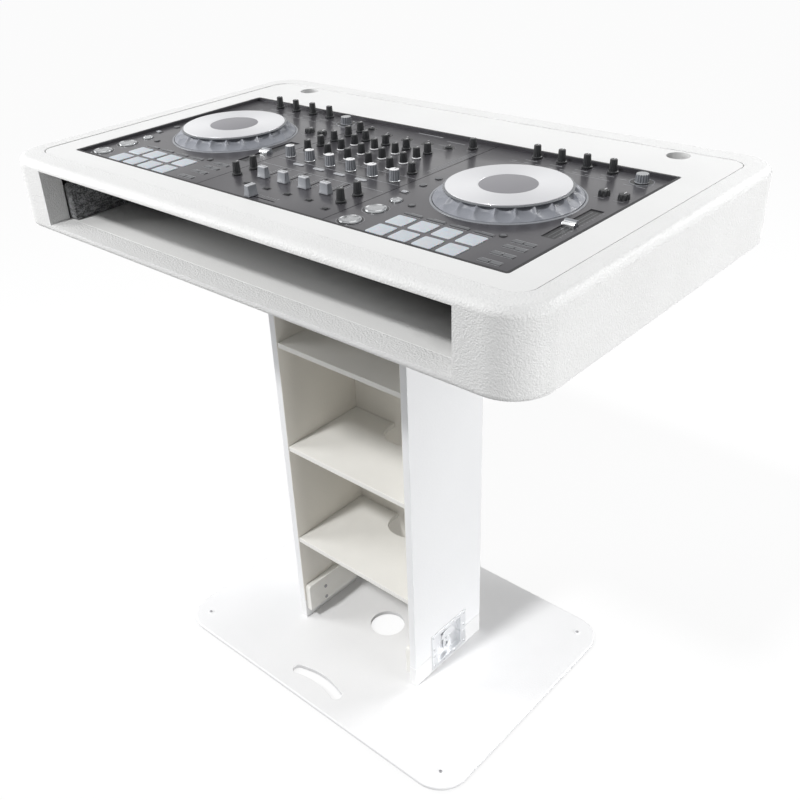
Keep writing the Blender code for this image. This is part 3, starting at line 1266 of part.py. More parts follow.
def main():
    clear_scene()
    build_base()
    build_kerb()
    build_cleats()
    build_column()
    for name, side in SIDES:
        build_latch(name, side)
    build_head()
    build_support_boards()
    build_case()
    build_faceplate()
    build_boards()
    build_jogs()
    build_turning_knobs()
    build_sliders()
    build_round_buttons()
    build_pads()


main()
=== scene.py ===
"""The looks of a podium stand for a disc jockey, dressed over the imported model.

Metres, +Z up. X runs to the operator's right and +Y away from the operator.
"""

import json
import math

import bmesh
import bpy
from mathutils import Matrix, Vector

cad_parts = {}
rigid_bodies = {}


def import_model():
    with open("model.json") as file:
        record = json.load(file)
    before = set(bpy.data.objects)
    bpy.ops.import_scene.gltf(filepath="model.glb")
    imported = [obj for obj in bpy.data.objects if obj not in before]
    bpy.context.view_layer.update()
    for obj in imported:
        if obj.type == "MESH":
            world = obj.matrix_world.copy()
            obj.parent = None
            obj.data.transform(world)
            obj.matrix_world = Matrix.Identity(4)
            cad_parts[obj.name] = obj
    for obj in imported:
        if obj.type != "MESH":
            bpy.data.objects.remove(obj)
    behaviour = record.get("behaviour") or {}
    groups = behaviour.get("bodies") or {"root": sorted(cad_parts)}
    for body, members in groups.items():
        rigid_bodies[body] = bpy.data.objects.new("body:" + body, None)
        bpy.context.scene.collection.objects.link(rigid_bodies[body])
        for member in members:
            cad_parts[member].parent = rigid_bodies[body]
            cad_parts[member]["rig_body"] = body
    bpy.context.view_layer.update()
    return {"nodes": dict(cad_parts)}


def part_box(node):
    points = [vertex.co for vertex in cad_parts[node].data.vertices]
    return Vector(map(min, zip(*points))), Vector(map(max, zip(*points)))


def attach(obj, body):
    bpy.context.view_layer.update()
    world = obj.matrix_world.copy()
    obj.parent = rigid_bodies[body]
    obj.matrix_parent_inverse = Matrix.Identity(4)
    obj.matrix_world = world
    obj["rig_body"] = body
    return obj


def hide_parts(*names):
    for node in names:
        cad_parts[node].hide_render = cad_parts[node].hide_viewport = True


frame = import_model()

# Camera at the photograph's place, with its focal length and centre in pixels of its own frame.
PHOTO_SIZE = 800
FOCAL_PIXELS = 953.87
CENTRE_U = 368.45
CENTRE_V = 419.37
AZIMUTH = 44.189
ELEVATION = 31.879
ROLL = -3.270
EYE = (1.0047, -1.0616, 1.4185)
SENSOR_MM = 36.0

# Clearance between pieces that touch, as the solids have it.
GAP = 0.0003
SIDES = (("left", -1), ("right", 1))

# Stand: what the boxes of the solids don't say.
HEAD_CORNER_RADIUS = 0.060
HEAD_TOP_ROUND = 0.012
HEAD_BOTTOM_ROUND = 0.009
HEAD_WALL = 0.015
FRONT_WALL = 0.037
LEDGE_WIDTH = 0.005
LEDGE_THICKNESS = 0.010
RIM_THICKNESS = 0.0143
DECK_CORNER_RADIUS = 0.028
DECK_HOLE_RADIUS = 0.0175
DECK_HOLE_X = 0.386
DECK_HOLE_Y = 0.257
PLATE_FIT = 0.0015
PLATE_CORNER_RADIUS = 0.005
TRAY_HALF_WIDTH = 0.420
COLUMN_INNER_HALF = 0.1432
BASE_CORNER_RADIUS = 0.059
BASE_EDGE_ROUND = 0.0035
HAND_SLOT_LENGTH = 0.125
HAND_SLOT_WIDTH = 0.022
HAND_SLOT_BOW = 0.009
HAND_SLOT_INSET = 0.047
CABLE_HOLE_RADIUS = 0.035
CABLE_HOLE_SHIFT = -0.005
SUPPORT_ROUND = 0.005
RIM_DROP = 0.0014
DECK_LIFT = 0.0005
SEAM_GROOVE = 0.0017

# Faceplate, the border round it and the boards below it. The box of the plate holds the bezels too.
BEZEL_RISE = 0.0014
BORDER_WIDTH = 0.0045
BORDER_OUTSET = 0.0008
BORDER_RISE = 0.0002
SLOT_WIDTH = 0.0026
MIXER_SEAMS = (-0.133, 0.129)
MIXER_SEAM_WIDTH = 0.0012
MIXER_SEAM_DEPTH = 0.0012
BOARD_TOP = 0.9558
BOARD_THICKNESS = 0.0016

# Controls. Rows lie this far from the plate's front edge, and X is measured from the middle of a
# deck or of a column. The middle of a deck lies this far to the right of its jog wheel.
JOG_SHIFT = 0.0045
EQ_ROWS = (0.2255, 0.2565, 0.2875)
TRIM_ROW = 0.314
SELECTOR_ROW = 0.356
SELECTOR_SHIFT = 0.0085
MIC_SELECTOR_ROW = 0.371
MIC_SELECTOR_SHIFT = 0.0035
MICROPHONE_ROWS = (0.224, 0.254, 0.285, 0.319, 0.348)
MASTER_ROWS = (0.225, 0.373)
OUTER_TALL_ROWS = (0.074, 0.108)
SWITCH_ROW = 0.055
SWITCH_ROW_LAST = 0.043
CUE_LIGHT_ROW = 0.161
COLOUR_ROW = 0.186
FADER_TRAVEL = 0.045
FADER_PLAY = 0.004
EFFECT_X = (-0.0695, -0.0268, 0.0159, 0.0586)
EFFECT_Y = 0.387
LOW_KNOB_X = (0.096, 0.1255)
LOW_KNOB_Y = 0.3005
SHIFT_X = -0.134
SHIFT_Y = 0.156
LOOP_X = -0.132
LOOP_ROWS = (0.194, 0.229)
SLIP_X = -0.090
SLIP_Y = 0.119
CORNER_BUTTON_X = 0.109
CORNER_BUTTON_ROWS = (0.024, 0.050, 0.074, 0.093)
DISPLAY_BUTTON_X = 0.074
DISPLAY_BUTTON_Y = 0.100
PAD_PITCH = 0.0383
PAD_STEPS = (-1.5, -0.5, 0.5, 1.5)
PAD_SIZE = 0.0305
PAD_FIT = 0.0004
TEMPO_WELL_Y = 0.1845
TEMPO_WELL_LENGTH = 0.117
TEMPO_WELL_WIDTH = 0.0200
TEMPO_WELL_DEPTH = 0.0015
TEMPO_RAIL_SHIFT = 0.0034
ROUND_BUTTON_FIT = {"cue": 0.0009, "play": 0.0009, "sync": 0.0006}

# Jog wheels: the sloping skirt with its scoops, the shoulder, the disc and its grey middle.
JOG_SCOOPS = 22
JOG_STEPS = 18
JOG_LEVELS = 22
JOG_SCOOP_DEPTH = 0.0075
JOG_SKIRT_WIDTH = 0.0142
JOG_SHOULDER_WIDTH = 0.0030
JOG_MIDDLE_RADIUS = 0.0404

# Knobs: radius of the skirt, of the grip's foot and of its top, height of the skirt and of the
# whole knob, number of flutes and their depth.
EQ_KNOB = (0.0072, 0.0060, 0.0053, 0.0018, 0.0165, 14, 0.0004)
TRIM_KNOB = (0.0076, 0.0060, 0.0053, 0.0030, 0.0165, 14, 0.0004)
MASTER_KNOB = (0.0078, 0.0060, 0.0053, 0.0030, 0.0165, 14, 0.0004)
TALL_KNOB = (0.0078, 0.0062, 0.0053, 0.0032, 0.0200, 14, 0.0004)

# Silver knobs, without the height of the whole knob, which their boxes give.
COLOUR_KNOB = (0.0087, 0.0083, 0.0074, 0.0012, 13, 0.0011)
BROWSE_KNOB = (0.0100, 0.0097, 0.0090, 0.0010, 15, 0.0018)

# Print: heights over the plate, half widths of lines and labels, and the marks round a knob.
INK_LOW = 0.00002
INK_HIGH = 0.00012
LINE = 0.0004
THICK_LINE = 0.0005
LABEL = 0.0006
DIAL_MARKS = 11
DIAL_MARK_LENGTH = 0.0010

# Bars that stand alone: X, distance from the plate's front edge, half width and half depth.
SECTION_BARS = [(-0.002, distance, 0.125, LINE) for distance in (0.1395, 0.172, 0.2085)]
SECTION_BARS += [(0.062, 0.362, 0.018, LABEL), (0.062, 0.384, 0.018, LABEL), (0.0, 0.396, 0.026, 0.0010)]
MASTER_BAR_SHIFTS = (0.0125, 0.0165, 0.0205)
MASTER_BAR_ROW = 0.300
CHANNEL_NUMBER_ROW = 0.130
CHANNEL_HEAD_ROW = 0.342
DECK_LINE_ROW = 0.3535
DECK_LABEL_ROW = 0.3600

# Screws: places in Y and Z, radii of the head's foot, of its face and of its hollow, and how far
# they lie from an edge.
CLEAT_SCREWS = [(y, z) for y in (-0.052, 0.052) for z in (0.045, 0.073)]
CLEAT_SCREW_RADII = (0.0038, 0.0028, 0.0012)
LATCH_SCREW_RADII = (0.0028, 0.0020, 0.0008)
LATCH_SCREW_INSET = 0.006
PLATE_SCREW_INSET = 0.006

# Light: the sun's direction, strength and width, and of each softbox its place, the point that it
# faces, its width and height, and its watts.
KEY_SUN = ((-0.16, -1.0, 1.30), 1.95, 6.0)
SOFTBOXES = {
    "side_softbox": ((2.95, 0.3, 0.5), (0.0, 0.0, 0.55), 1.4, 0.7, 48.0),
    "left_softbox": ((-1.9, -1.2, 1.6), (-0.35, -0.2, 0.9), 1.0, 1.0, 30.0),
    "back_softbox": ((0.8, 1.8, 2.1), (0.2, 0.2, 0.4), 0.9, 0.9, 22.0),
}
WORLD_STRENGTH = 0.27
FLOOR_REACH = 30.0
FLOOR_GLOW = 0.88


class Solid:
    """A solid of the model: its name, and the box round it at rest."""

    def __init__(self, name):
        self.name = name
        self.low, self.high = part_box(name)
        self.middle = (self.low + self.high) / 2
        self.half = (self.high - self.low) / 2


def pair(kind):
    """The left and the right solid of a kind, each as its side and the solid."""
    return [(side, Solid(f"{kind}_{side}")) for side, _ in SIDES]


def round_buttons(side):
    """The turned buttons of a deck, each as its kind and the solid."""
    return [(kind, Solid(f"{kind}_button_{side}")) for kind in ROUND_BUTTON_FIT]


HEAD = Solid("head_shell")
DECK = Solid("top_deck")
PLATE = Solid("controller_faceplate")
BASE = Solid("base_plate")
CROSSFADER = Solid("crossfader")
FADERS = [Solid(f"channel_fader_{i + 1}") for i in range(4)]
COLOUR_KNOBS = [Solid(f"colour_knob_{i + 1}") for i in range(6)]
TRAY_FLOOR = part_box("head_floor")[1].z
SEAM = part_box("base_kerb")[1].z + GAP
PLATE_TOP = PLATE.high.z - BEZEL_RISE
CONTROL_FOOT = PLATE_TOP + GAP
CHANNELS = [fader.middle.x for fader in FADERS]
MIC_COLUMN = COLOUR_KNOBS[0].middle.x
MASTER_COLUMN = COLOUR_KNOBS[5].middle.x
OUTER_COLUMNS = ((MIC_COLUMN, MICROPHONE_ROWS), (MASTER_COLUMN, MASTER_ROWS))
DECK_MIDDLES = [(side, jog.middle.x + JOG_SHIFT) for side, jog in pair("jog_wheel")]


def row(distance):
    """World Y of a row that lies this far from the plate's front edge."""
    return PLATE.low.y + distance


# Shader maths

def overload(operation, reflected=False):
    """An operator that puts a wire and another value into one maths node, in either order."""
    if reflected:
        return lambda wire, other: wire.nodes.maths(operation, other, wire)
    return lambda wire, other: wire.nodes.maths(operation, wire, other)


class Wire:
    """An output in a shader tree, which takes part in sums and products."""

    def __init__(self, nodes, socket):
        self.nodes = nodes
        self.socket = socket

    __add__ = overload("ADD")
    __radd__ = overload("ADD", True)
    __sub__ = overload("SUBTRACT")
    __rsub__ = overload("SUBTRACT", True)
    __mul__ = overload("MULTIPLY")
    __rmul__ = overload("MULTIPLY", True)


class Nodes:
    """The shader tree of a material or of the world."""

    def __init__(self, owner):
        owner.use_nodes = True
        self.tree = owner.node_tree

    def plug(self, socket, value):
        if isinstance(value, Wire):
            self.tree.links.new(value.socket, socket)
        elif isinstance(value, tuple) and len(value) < len(socket.default_value):
            socket.default_value = (*value, 1.0)
        else:
            socket.default_value = value

    def node(self, kind, settings, sockets, output=0):
        """Adds a node: its settings first, then its sockets, and returns one output."""
        made = self.tree.nodes.new(kind)
        for key, value in settings.items():
            if key == "stops":
                elements = made.color_ramp.elements
                for element, (place, shade) in zip(elements, value):
                    element.position = place
                    element.color = (shade, shade, shade, 1.0)
            else:
                setattr(made, key, value)
        for key, value in sockets.items():
            self.plug(made.inputs[key], value)
        return Wire(self, made.outputs[output])

    def maths(self, operation, *values):
        return self.node("ShaderNodeMath", {"operation": operation}, dict(enumerate(values)))

    def seen_directly(self):
        """1 for camera, glossy and transmission rays."""
        rays = [self.node("ShaderNodeLightPath", {}, {}, f"Is {kind} Ray")
                for kind in ("Camera", "Glossy", "Transmission")]
        return rays[0] + rays[1] + rays[2]

    def surface(self, outlet, share, first, second):
        """Sends a blend of two shaders to the tree's outlet."""
        blend = self.node("ShaderNodeMixShader", {}, {0: share, 1: first, 2: second})
        self.plug(self.tree.nodes[outlet].inputs["Surface"], blend)


class Finish(Nodes):
    """A material. Uniform values go straight onto the shader's own sockets."""

    def __init__(self, name, values):
        self.material = bpy.data.materials.new(name)
        super().__init__(self.material)
        self.shader = self.tree.nodes["Principled BSDF"]
        for label, value in values.items():
            self.set(label, value)

    def set(self, label, value):
        self.plug(self.shader.inputs[label], value)

    def place(self):
        """The point on the piece itself, so that a pattern moves with it."""
        return self.node("ShaderNodeTexCoord", {}, {}, "Object")

    def part(self, axis):
        return self.node("ShaderNodeSeparateXYZ", {}, {0: self.place()}, axis)

    def noise(self, scale, detail=2.0, stretch=(1.0, 1.0, 1.0)):
        where = self.node("ShaderNodeMapping", {}, {"Vector": self.place(), "Scale": stretch})
        return self.node("ShaderNodeTexNoise", {}, {"Vector": where, "Scale": scale, "Detail": detail})

    def cells(self, scale):
        return self.node("ShaderNodeTexVoronoi", {"feature": "SMOOTH_F1"},
                         {"Vector": self.place(), "Scale": scale, "Smoothness": 0.6})

    def ramp(self, value, *stops):
        return self.node("ShaderNodeValToRGB", {"stops": stops}, {0: value})

    def mix(self, share, first, second):
        return self.node("ShaderNodeMix", {"data_type": "RGBA"}, {0: share, 6: first, 7: second}, 2)

    def colour(self, share, first, second):
        self.set("Base Color", self.mix(share, first, second))

    def turn(self):
        """Angle round the piece's own upright axis, from 0 to 1."""
        return self.node("ShaderNodeTexGradient", {"gradient_type": "RADIAL"}, {"Vector": self.place()}, 1)

    def wave(self, value, count):
        """Rises and falls this many times between 0 and 1, as value goes from 0 to 1."""
        return self.maths("SINE", value * (2 * math.pi * count)) * 0.5 + 0.5

    def bump(self, height, distance):
        self.set("Normal", self.node("ShaderNodeBump", {}, {"Distance": distance, "Height": height}))


# Finishes

def coat(name, light, dark, grain):
    """Textured coating: an orange peel of fine grains, faintly clouded."""
    finish = Finish(name, {"Roughness": 0.46, "Specular IOR Level": 0.4})
    cloud = finish.ramp(finish.noise(9.0, 4.0), (0.3, 0.0), (0.7, 1.0))
    finish.colour(cloud, dark, light)
    finish.bump(finish.noise(380.0, 3.0) + finish.cells(430.0) * 0.8, grain)
    return finish.material


def satin_paint(name, light, dark):
    finish = Finish(name, {"Roughness": 0.42})
    cloud = finish.ramp(finish.noise(14.0, 5.0), (0.35, 0.0), (0.65, 1.0))
    finish.colour(cloud, dark, light)
    finish.bump(finish.noise(160.0, 4.0), 0.00006)
    return finish.material


def tray_coat_with_painted_shade():
    """White coat on the front of the tray's floor, darkening to near black further in as painted shade."""
    finish = Finish("white_coat_fading_to_board", {"Roughness": 0.5})
    # Painted shade: the floor's colour darkens from its front edge towards the inside of the tray.
    depth = finish.part("Y") * 3.2 + finish.part("X") * 0.8 + 0.74
    inside = finish.ramp(depth + finish.noise(25.0, 3.0) * 0.12, (0.20, 0.0), (0.62, 1.0))
    finish.colour(inside, (0.80, 0.80, 0.79), (0.032, 0.031, 0.026))
    finish.bump(finish.noise(300.0, 3.0), 0.00015)
    return finish.material


def column_coat_with_painted_shade():
    """White outside the column, and inside it a darker, warmer colour that is painted shade and bounced
    light.
    """
    finish = Finish("white_coat_outside_warm_inside", {"Roughness": 0.46, "Specular IOR Level": 0.4})
    outside = finish.maths("GREATER_THAN", finish.maths("ABSOLUTE", finish.part("X")), COLUMN_INNER_HALF)
    cloud = finish.noise(9.0, 4.0)
    # Painted shade: the inner colour is darker and warmer, standing in for warm light bounced between the
    # walls.
    inner = finish.mix(cloud, (0.78, 0.755, 0.70), (0.82, 0.795, 0.74))
    outer = finish.mix(cloud, (0.83, 0.835, 0.845), (0.86, 0.865, 0.875))
    finish.colour(outside, inner, outer)
    finish.bump(finish.noise(235.0, 2.0) + finish.cells(300.0) * 0.8, 0.00018)
    return finish.material


def carpet():
    """Short charcoal carpet with pale flecks."""
    finish = Finish("charcoal_carpet", {"Roughness": 0.95, "Sheen Weight": 0.35, "Sheen Roughness": 0.6})
    fibre = finish.noise(520.0, 4.0)
    patch = finish.noise(110.0, 3.0, (1.0, 0.5, 2.4))
    fleck = finish.ramp(fibre * 0.6 + patch * 0.4, (0.44, 0.0), (0.60, 1.0))
    finish.colour(fleck, (0.030, 0.031, 0.033), (0.30, 0.305, 0.315))
    finish.bump(fibre + patch, 0.0012)
    return finish.material


def graphite():
    """Faceplate: dark satin metal, brushed along X."""
    finish = Finish("graphite_faceplate", {"Metallic": 0.2, "Coat Weight": 0.18, "Coat Roughness": 0.10,
                                          "Specular IOR Level": 0.3})
    streak = finish.noise(60.0, 6.0, (0.4, 26.0, 26.0))
    finish.colour(streak, (0.046, 0.044, 0.050), (0.072, 0.070, 0.077))
    finish.set("Roughness", streak * 0.16 + 0.24)
    return finish.material


def plastic(name, light, dark, rough, grain=0.00004):
    """Moulded plastic with a fine grain."""
    finish = Finish(name, {})
    speck = finish.noise(700.0, 3.0)
    finish.colour(speck, dark, light)
    finish.set("Roughness", speck * 0.12 + rough)
    finish.bump(speck, grain)
    return finish.material


def metal(name, light, dark, rough):
    finish = Finish(name, {"Metallic": 1.0})
    smear = finish.noise(120.0, 4.0, (1.0, 1.0, 5.0))
    finish.colour(smear, dark, light)
    finish.set("Roughness", smear * 0.14 + rough)
    return finish.material


def spun_metal_painted_reflections():
    """Bright button face of turned metal, whose light and dark sectors are painted reflections."""
    finish = Finish("spun_button_face", {"Metallic": 0.35, "Roughness": 0.4})
    turn = finish.turn()
    # Painted reflections: light and dark sectors round the button's middle, in its base colour.
    painted_reflection_sector = finish.ramp(finish.wave(turn, 3) * finish.wave(turn + 0.03, 5), (0.05, 0.0), (0.55, 1.0))
    finish.colour(painted_reflection_sector, (0.20, 0.205, 0.215), (0.80, 0.81, 0.82))
    return finish.material


def spun_disc_painted_reflections():
    """White-silver top of a jog wheel: turned metal under a clear coat, with faint painted reflections in
    light and dark sectors.
    """
    finish = Finish("white_jog_disc", {"Metallic": 0.15, "Roughness": 0.34, "Coat Weight": 0.25})
    # Painted reflections: two faint light and two dark sectors across the disc.
    painted_reflection_sector = finish.wave(finish.turn(), 2)
    grain = finish.noise(240.0, 3.0)
    shade = finish.mix(painted_reflection_sector, (0.58, 0.58, 0.60), (0.76, 0.76, 0.775))
    finish.colour(grain * 0.25, shade, (0.60, 0.61, 0.63))
    return finish.material


def pad_silicone():
    """Pale silicone, a little brighter in the middle of its thickness."""
    finish = Finish("pale_silicone", {"Roughness": 0.5, "Subsurface Weight": 0.2, "Subsurface Scale": 0.003})
    haze = finish.noise(180.0, 3.0)
    finish.colour(haze, (0.50, 0.535, 0.575), (0.58, 0.615, 0.655))
    finish.bump(finish.noise(900.0, 2.0), 0.00003)
    return finish.material


def circuit():
    """Green solder mask with a trace pattern."""
    finish = Finish("green_solder_mask", {"Roughness": 0.4})
    trace = finish.node("ShaderNodeTexVoronoi", {"feature": "DISTANCE_TO_EDGE"},
                        {"Vector": finish.place(), "Scale": 90.0})
    line = finish.ramp(trace, (0.02, 1.0), (0.05, 0.0))
    finish.colour(line, (0.010, 0.105, 0.045), (0.045, 0.24, 0.10))
    return finish.material


# The stand has one white coating: the small differences in colour between these copies are painted light and
# shade, darker on the head and deck and lighter on the base and kerb.
WHITE_COAT = coat("white_textured_coat", (0.80, 0.80, 0.795), (0.77, 0.77, 0.765), 0.0007)
DECK_COAT = coat("white_deck_coat", (0.80, 0.80, 0.795), (0.775, 0.775, 0.77), 0.00012)
BASE_COAT = coat("white_base_coat", (0.83, 0.83, 0.835), (0.81, 0.81, 0.815), 0.00012)
WHITE_COAT_FINE = coat("white_fine_coat", (0.84, 0.84, 0.84), (0.81, 0.812, 0.812), 0.00022)
TRAY_COAT_PAINTED_SHADE = tray_coat_with_painted_shade()
COLUMN_COAT_PAINTED_SHADE = column_coat_with_painted_shade()
# Painted shade: the paint of the shelves, cleats and top board is tinted warm and a little darker for the
# light bounced inside the column.
WHITE_PAINT_WARM_SHADE = satin_paint("white_satin_paint", (0.81, 0.80, 0.765), (0.78, 0.77, 0.735))
CARPET = carpet()
GRAPHITE = graphite()
BLACK_KNOB = plastic("black_knob_plastic", (0.016, 0.017, 0.019), (0.010, 0.011, 0.012), 0.36)
BLACK_CASE = plastic("black_case_plastic", (0.012, 0.012, 0.014), (0.007, 0.007, 0.008), 0.6, 0.0002)
BLACK_WELL = plastic("black_well_plastic", (0.012, 0.012, 0.013), (0.008, 0.008, 0.009), 0.35)
GREY_BUTTON = plastic("grey_button_plastic", (0.105, 0.108, 0.115), (0.085, 0.088, 0.094), 0.32)
PALE_BUTTON = plastic("pale_button_plastic", (0.42, 0.43, 0.45), (0.36, 0.37, 0.39), 0.3)
RUBBER = plastic("black_rubber", (0.034, 0.034, 0.035), (0.022, 0.022, 0.023), 0.75, 0.0002)
INK_AND_PAINTED_HIGHLIGHTS = plastic("pale_print", (0.36, 0.365, 0.375), (0.28, 0.285, 0.295), 0.5)
WHITE_PLASTIC = plastic("white_plastic", (0.88, 0.88, 0.885), (0.80, 0.80, 0.81), 0.3)
SILVER_SATIN = plastic("silver_satin", (0.27, 0.28, 0.30), (0.21, 0.22, 0.24), 0.28)
PALE_SATIN = plastic("pale_satin", (0.62, 0.63, 0.65), (0.54, 0.55, 0.57), 0.3)
JOG_SILVER = plastic("jog_silver", (0.27, 0.28, 0.31), (0.22, 0.23, 0.26), 0.36)
JOG_SHOULDER = plastic("jog_shoulder", (0.15, 0.158, 0.17), (0.12, 0.127, 0.138), 0.22)
RIM_SILVER = metal("button_rim", (0.46, 0.47, 0.48), (0.38, 0.39, 0.40), 0.2)
JOG_BADGE = plastic("grey_jog_middle", (0.25, 0.247, 0.262), (0.215, 0.212, 0.227), 0.45)
CHROME = metal("bright_chrome", (0.90, 0.91, 0.92), (0.78, 0.79, 0.80), 0.10)
ZINC = metal("bright_zinc", (0.88, 0.89, 0.90), (0.74, 0.75, 0.77), 0.26)
SCREW_ZINC = metal("screw_zinc", (0.66, 0.67, 0.68), (0.52, 0.53, 0.54), 0.3)
DARK_ZINC = metal("dark_zinc", (0.42, 0.42, 0.43), (0.30, 0.30, 0.31), 0.36)
SPUN_BUTTON_PAINTED_REFLECTIONS = spun_metal_painted_reflections()
SPUN_DISC_PAINTED_REFLECTIONS = spun_disc_painted_reflections()
SILICONE = pad_silicone()
CIRCUIT = circuit()


# Mesh tools. Each of them that adds a shape takes the bmesh that it goes into.

def bridge(bm, lower, upper, index=0):
    """Faces between two closed loops of as many vertices."""
    for i in range(len(lower)):
        j = (i + 1) % len(lower)
        bm.faces.new((lower[i], lower[j], upper[j], upper[i])).material_index = index


def add_loft(bm, rings, index=0, bands=None):
    """Joins rings of as many points each, and closes both ends with one face.

    Bands can give the finish of the first end, of each band between two rings, and of the last end.
    """
    loops = [[bm.verts.new(point) for point in ring] for ring in rings]
    first, *middle, last = bands or [index] * (len(rings) + 1)
    for lower, upper, band in zip(loops, loops[1:], middle):
        bridge(bm, lower, upper, band)
    bm.faces.new(loops[0][::-1]).material_index = first
    bm.faces.new(loops[-1]).material_index = last


def rounded_rectangle(half_x, half_y, radius, middle=(0.0, 0.0), steps=6):
    """Outline of a rectangle with round corners, anticlockwise."""
    points = []
    for sign_x, sign_y, start in ((1, 1, 0), (-1, 1, 90), (-1, -1, 180), (1, -1, 270)):
        for i in range(steps + 1):
            angle = math.radians(start + 90 * i / steps)
            points.append((middle[0] + sign_x * (half_x - radius) + radius * math.cos(angle),
                           middle[1] + sign_y * (half_y - radius) + radius * math.sin(angle)))
    return points


def circle(middle, segments, reach):
    """Points round a middle. Reach is a radius, or gives one for a step and its angle."""
    points = []
    for i in range(segments):
        angle = 2 * math.pi * i / segments
        radius = reach(i, angle) if callable(reach) else reach
        points.append((middle[0] + radius * math.cos(angle), middle[1] + radius * math.sin(angle)))
    return points


def at_level(outline, level, axis="z"):
    """Puts a flat outline at a height. Along x the outline is (y, z), and the level is its X."""
    return [(u, v, level) if axis == "z" else (level, u, v) for u, v in outline]


def add_prism(bm, outline, low, high, axis="z", index=0):
    add_loft(bm, [at_level(outline, level, axis) for level in (low, high)], index)


def add_box(bm, low, high, index=0):
    outline = [(low[0], low[1]), (high[0], low[1]), (high[0], high[1]), (low[0], high[1])]
    add_prism(bm, outline, low[2], high[2], index=index)


def add_block(bm, middle, half_x, half_y, low, high, index=0):
    """A plain block round a middle."""
    x, y = middle[:2]
    add_box(bm, (x - half_x, y - half_y, low), (x + half_x, y + half_y, high), index)


def add_rounded_slab(bm, half, low, high, corner, round_low, round_high, steps, edge_steps):
    """A slab with round corners in plan and rounded lower and upper edges."""
    quarter = [math.pi / 2 * i / edge_steps for i in range(edge_steps + 1)]
    levels = [(low + round_low * (1 - math.sin(angle)), round_low * (1 - math.cos(angle)))
              for angle in reversed(quarter)]
    levels += [(high - round_high * (1 - math.sin(angle)), round_high * (1 - math.cos(angle)))
               for angle in quarter]
    rings = []
    for height, inset in levels:
        outline = rounded_rectangle(half.x - inset, half.y - inset, corner - inset, steps=steps)
        rings.append(at_level(outline, height))
    add_loft(bm, rings)


def add_stack(bm, middle, half_x, half_y, levels, corner, steps=4, base=0.0, index=0):
    """A block with round upright corners. A level is a height over the base and insets in x and y."""
    rings = []
    for height, *inset in levels:
        level_x = half_x - inset[0]
        level_y = half_y - inset[-1]
        radius = min(corner, level_x * 0.98, level_y * 0.98)
        outline = rounded_rectangle(level_x, level_y, radius, middle, steps)
        rings.append(at_level(outline, base + height))
    add_loft(bm, rings, index)


def add_hole(bm, middle, radius, low, high, segments):
    """A plain cylinder, which cuts a round hole."""
    add_turned(bm, middle, [(radius, low), (radius, high)], segments)


def add_turned(bm, middle, profile, segments=32, base=0.0, index=0, axis="z"):
    """Turns (radius, height over the base) pairs round an upright axis, or round one along x."""
    rings = [at_level(circle(middle, segments, radius), base + height, axis) for radius, height in profile]
    add_loft(bm, rings, index)


def add_ring(bm, middle, profile, segments, radius=0.0, index=0):
    """Turns a closed profile into a ring on the plate. A profile is (distance past the radius, height)."""
    loops = []
    for reach, height in profile:
        ring = at_level(circle(middle, segments, radius + reach), PLATE_TOP + height)
        loops.append([bm.verts.new(point) for point in ring])
    for near, far in zip(loops, loops[1:] + loops[:1]):
        bridge(bm, near, far, index)


def make(name, bm, finishes, origin=(0.0, 0.0, 0.0), angle=32):
    """Closes a bmesh into a smooth-shaded object whose origin lies at the given point."""
    bmesh.ops.recalc_face_normals(bm, faces=bm.faces)
    bmesh.ops.translate(bm, verts=bm.verts, vec=[-value for value in origin])
    mesh = bpy.data.meshes.new(name)
    bm.to_mesh(mesh)
    bm.free()
    for finish in finishes:
        mesh.materials.append(finish)
    mesh.shade_smooth()
    mesh.set_sharp_from_angle(angle=math.radians(angle))
    made = bpy.data.objects.new(name, mesh)
    made.location = origin
    bpy.context.scene.collection.objects.link(made)
    return made


def settle(piece, angle=32):
    """Turns a piece's modifiers into plain mesh."""
    bpy.context.view_layer.update()
    evaluated = piece.evaluated_get(bpy.context.evaluated_depsgraph_get())
    mesh = bpy.data.meshes.new_from_object(evaluated)
    piece.modifiers.clear()
    piece.data = mesh
    mesh.shade_smooth()
    mesh.set_sharp_from_angle(angle=math.radians(angle))


def carve(piece, bm):
    """Cuts the closed shapes in the bmesh out of a piece."""
    cutter = make(f"{piece.name}_cutter", bm, [])
    cut = piece.modifiers.new("cut", "BOOLEAN")
    cut.operation = "DIFFERENCE"
    cut.object = cutter
    cut.solver = "EXACT"
    settle(piece)
    bpy.data.objects.remove(cutter, do_unlink=True)


def ease(piece, width, limit=50):
    """Rounds over the crisp edges of a piece."""
    bevel = piece.modifiers.new("ease", "BEVEL")
    bevel.width = width
    bevel.segments = 2
    bevel.limit_method = "ANGLE"
    bevel.angle_limit = math.radians(limit)
    bevel.use_clamp_overlap = True
    settle(piece, 40)


def weigh(piece):
    """Lets large flat faces keep their own direction in smooth shading."""
    weighted = piece.modifiers.new("weighted_normals", "WEIGHTED_NORMAL")
    weighted.keep_sharp = True


def dress(piece, body, slot, *nodes):
    """Puts a finished piece on its body and hides the solids that it stands for. Its slot is not used."""
    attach(piece, body)
    if nodes:
        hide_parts(*nodes)


def add_piece(name, bm, finishes, slot, *nodes):
    """A piece that stays still."""
    dress(make(name, bm, finishes), "stand", slot, *nodes)


def add_moving(name, bm, finishes, slot, solid, low, *nodes, angle=32):
    """A piece that moves with a solid. Its origin lies at the solid's middle, at the given height."""
    made = make(name, bm, finishes, (solid.middle.x, solid.middle.y, low), angle)
    dress(made, solid.name, slot, *nodes)


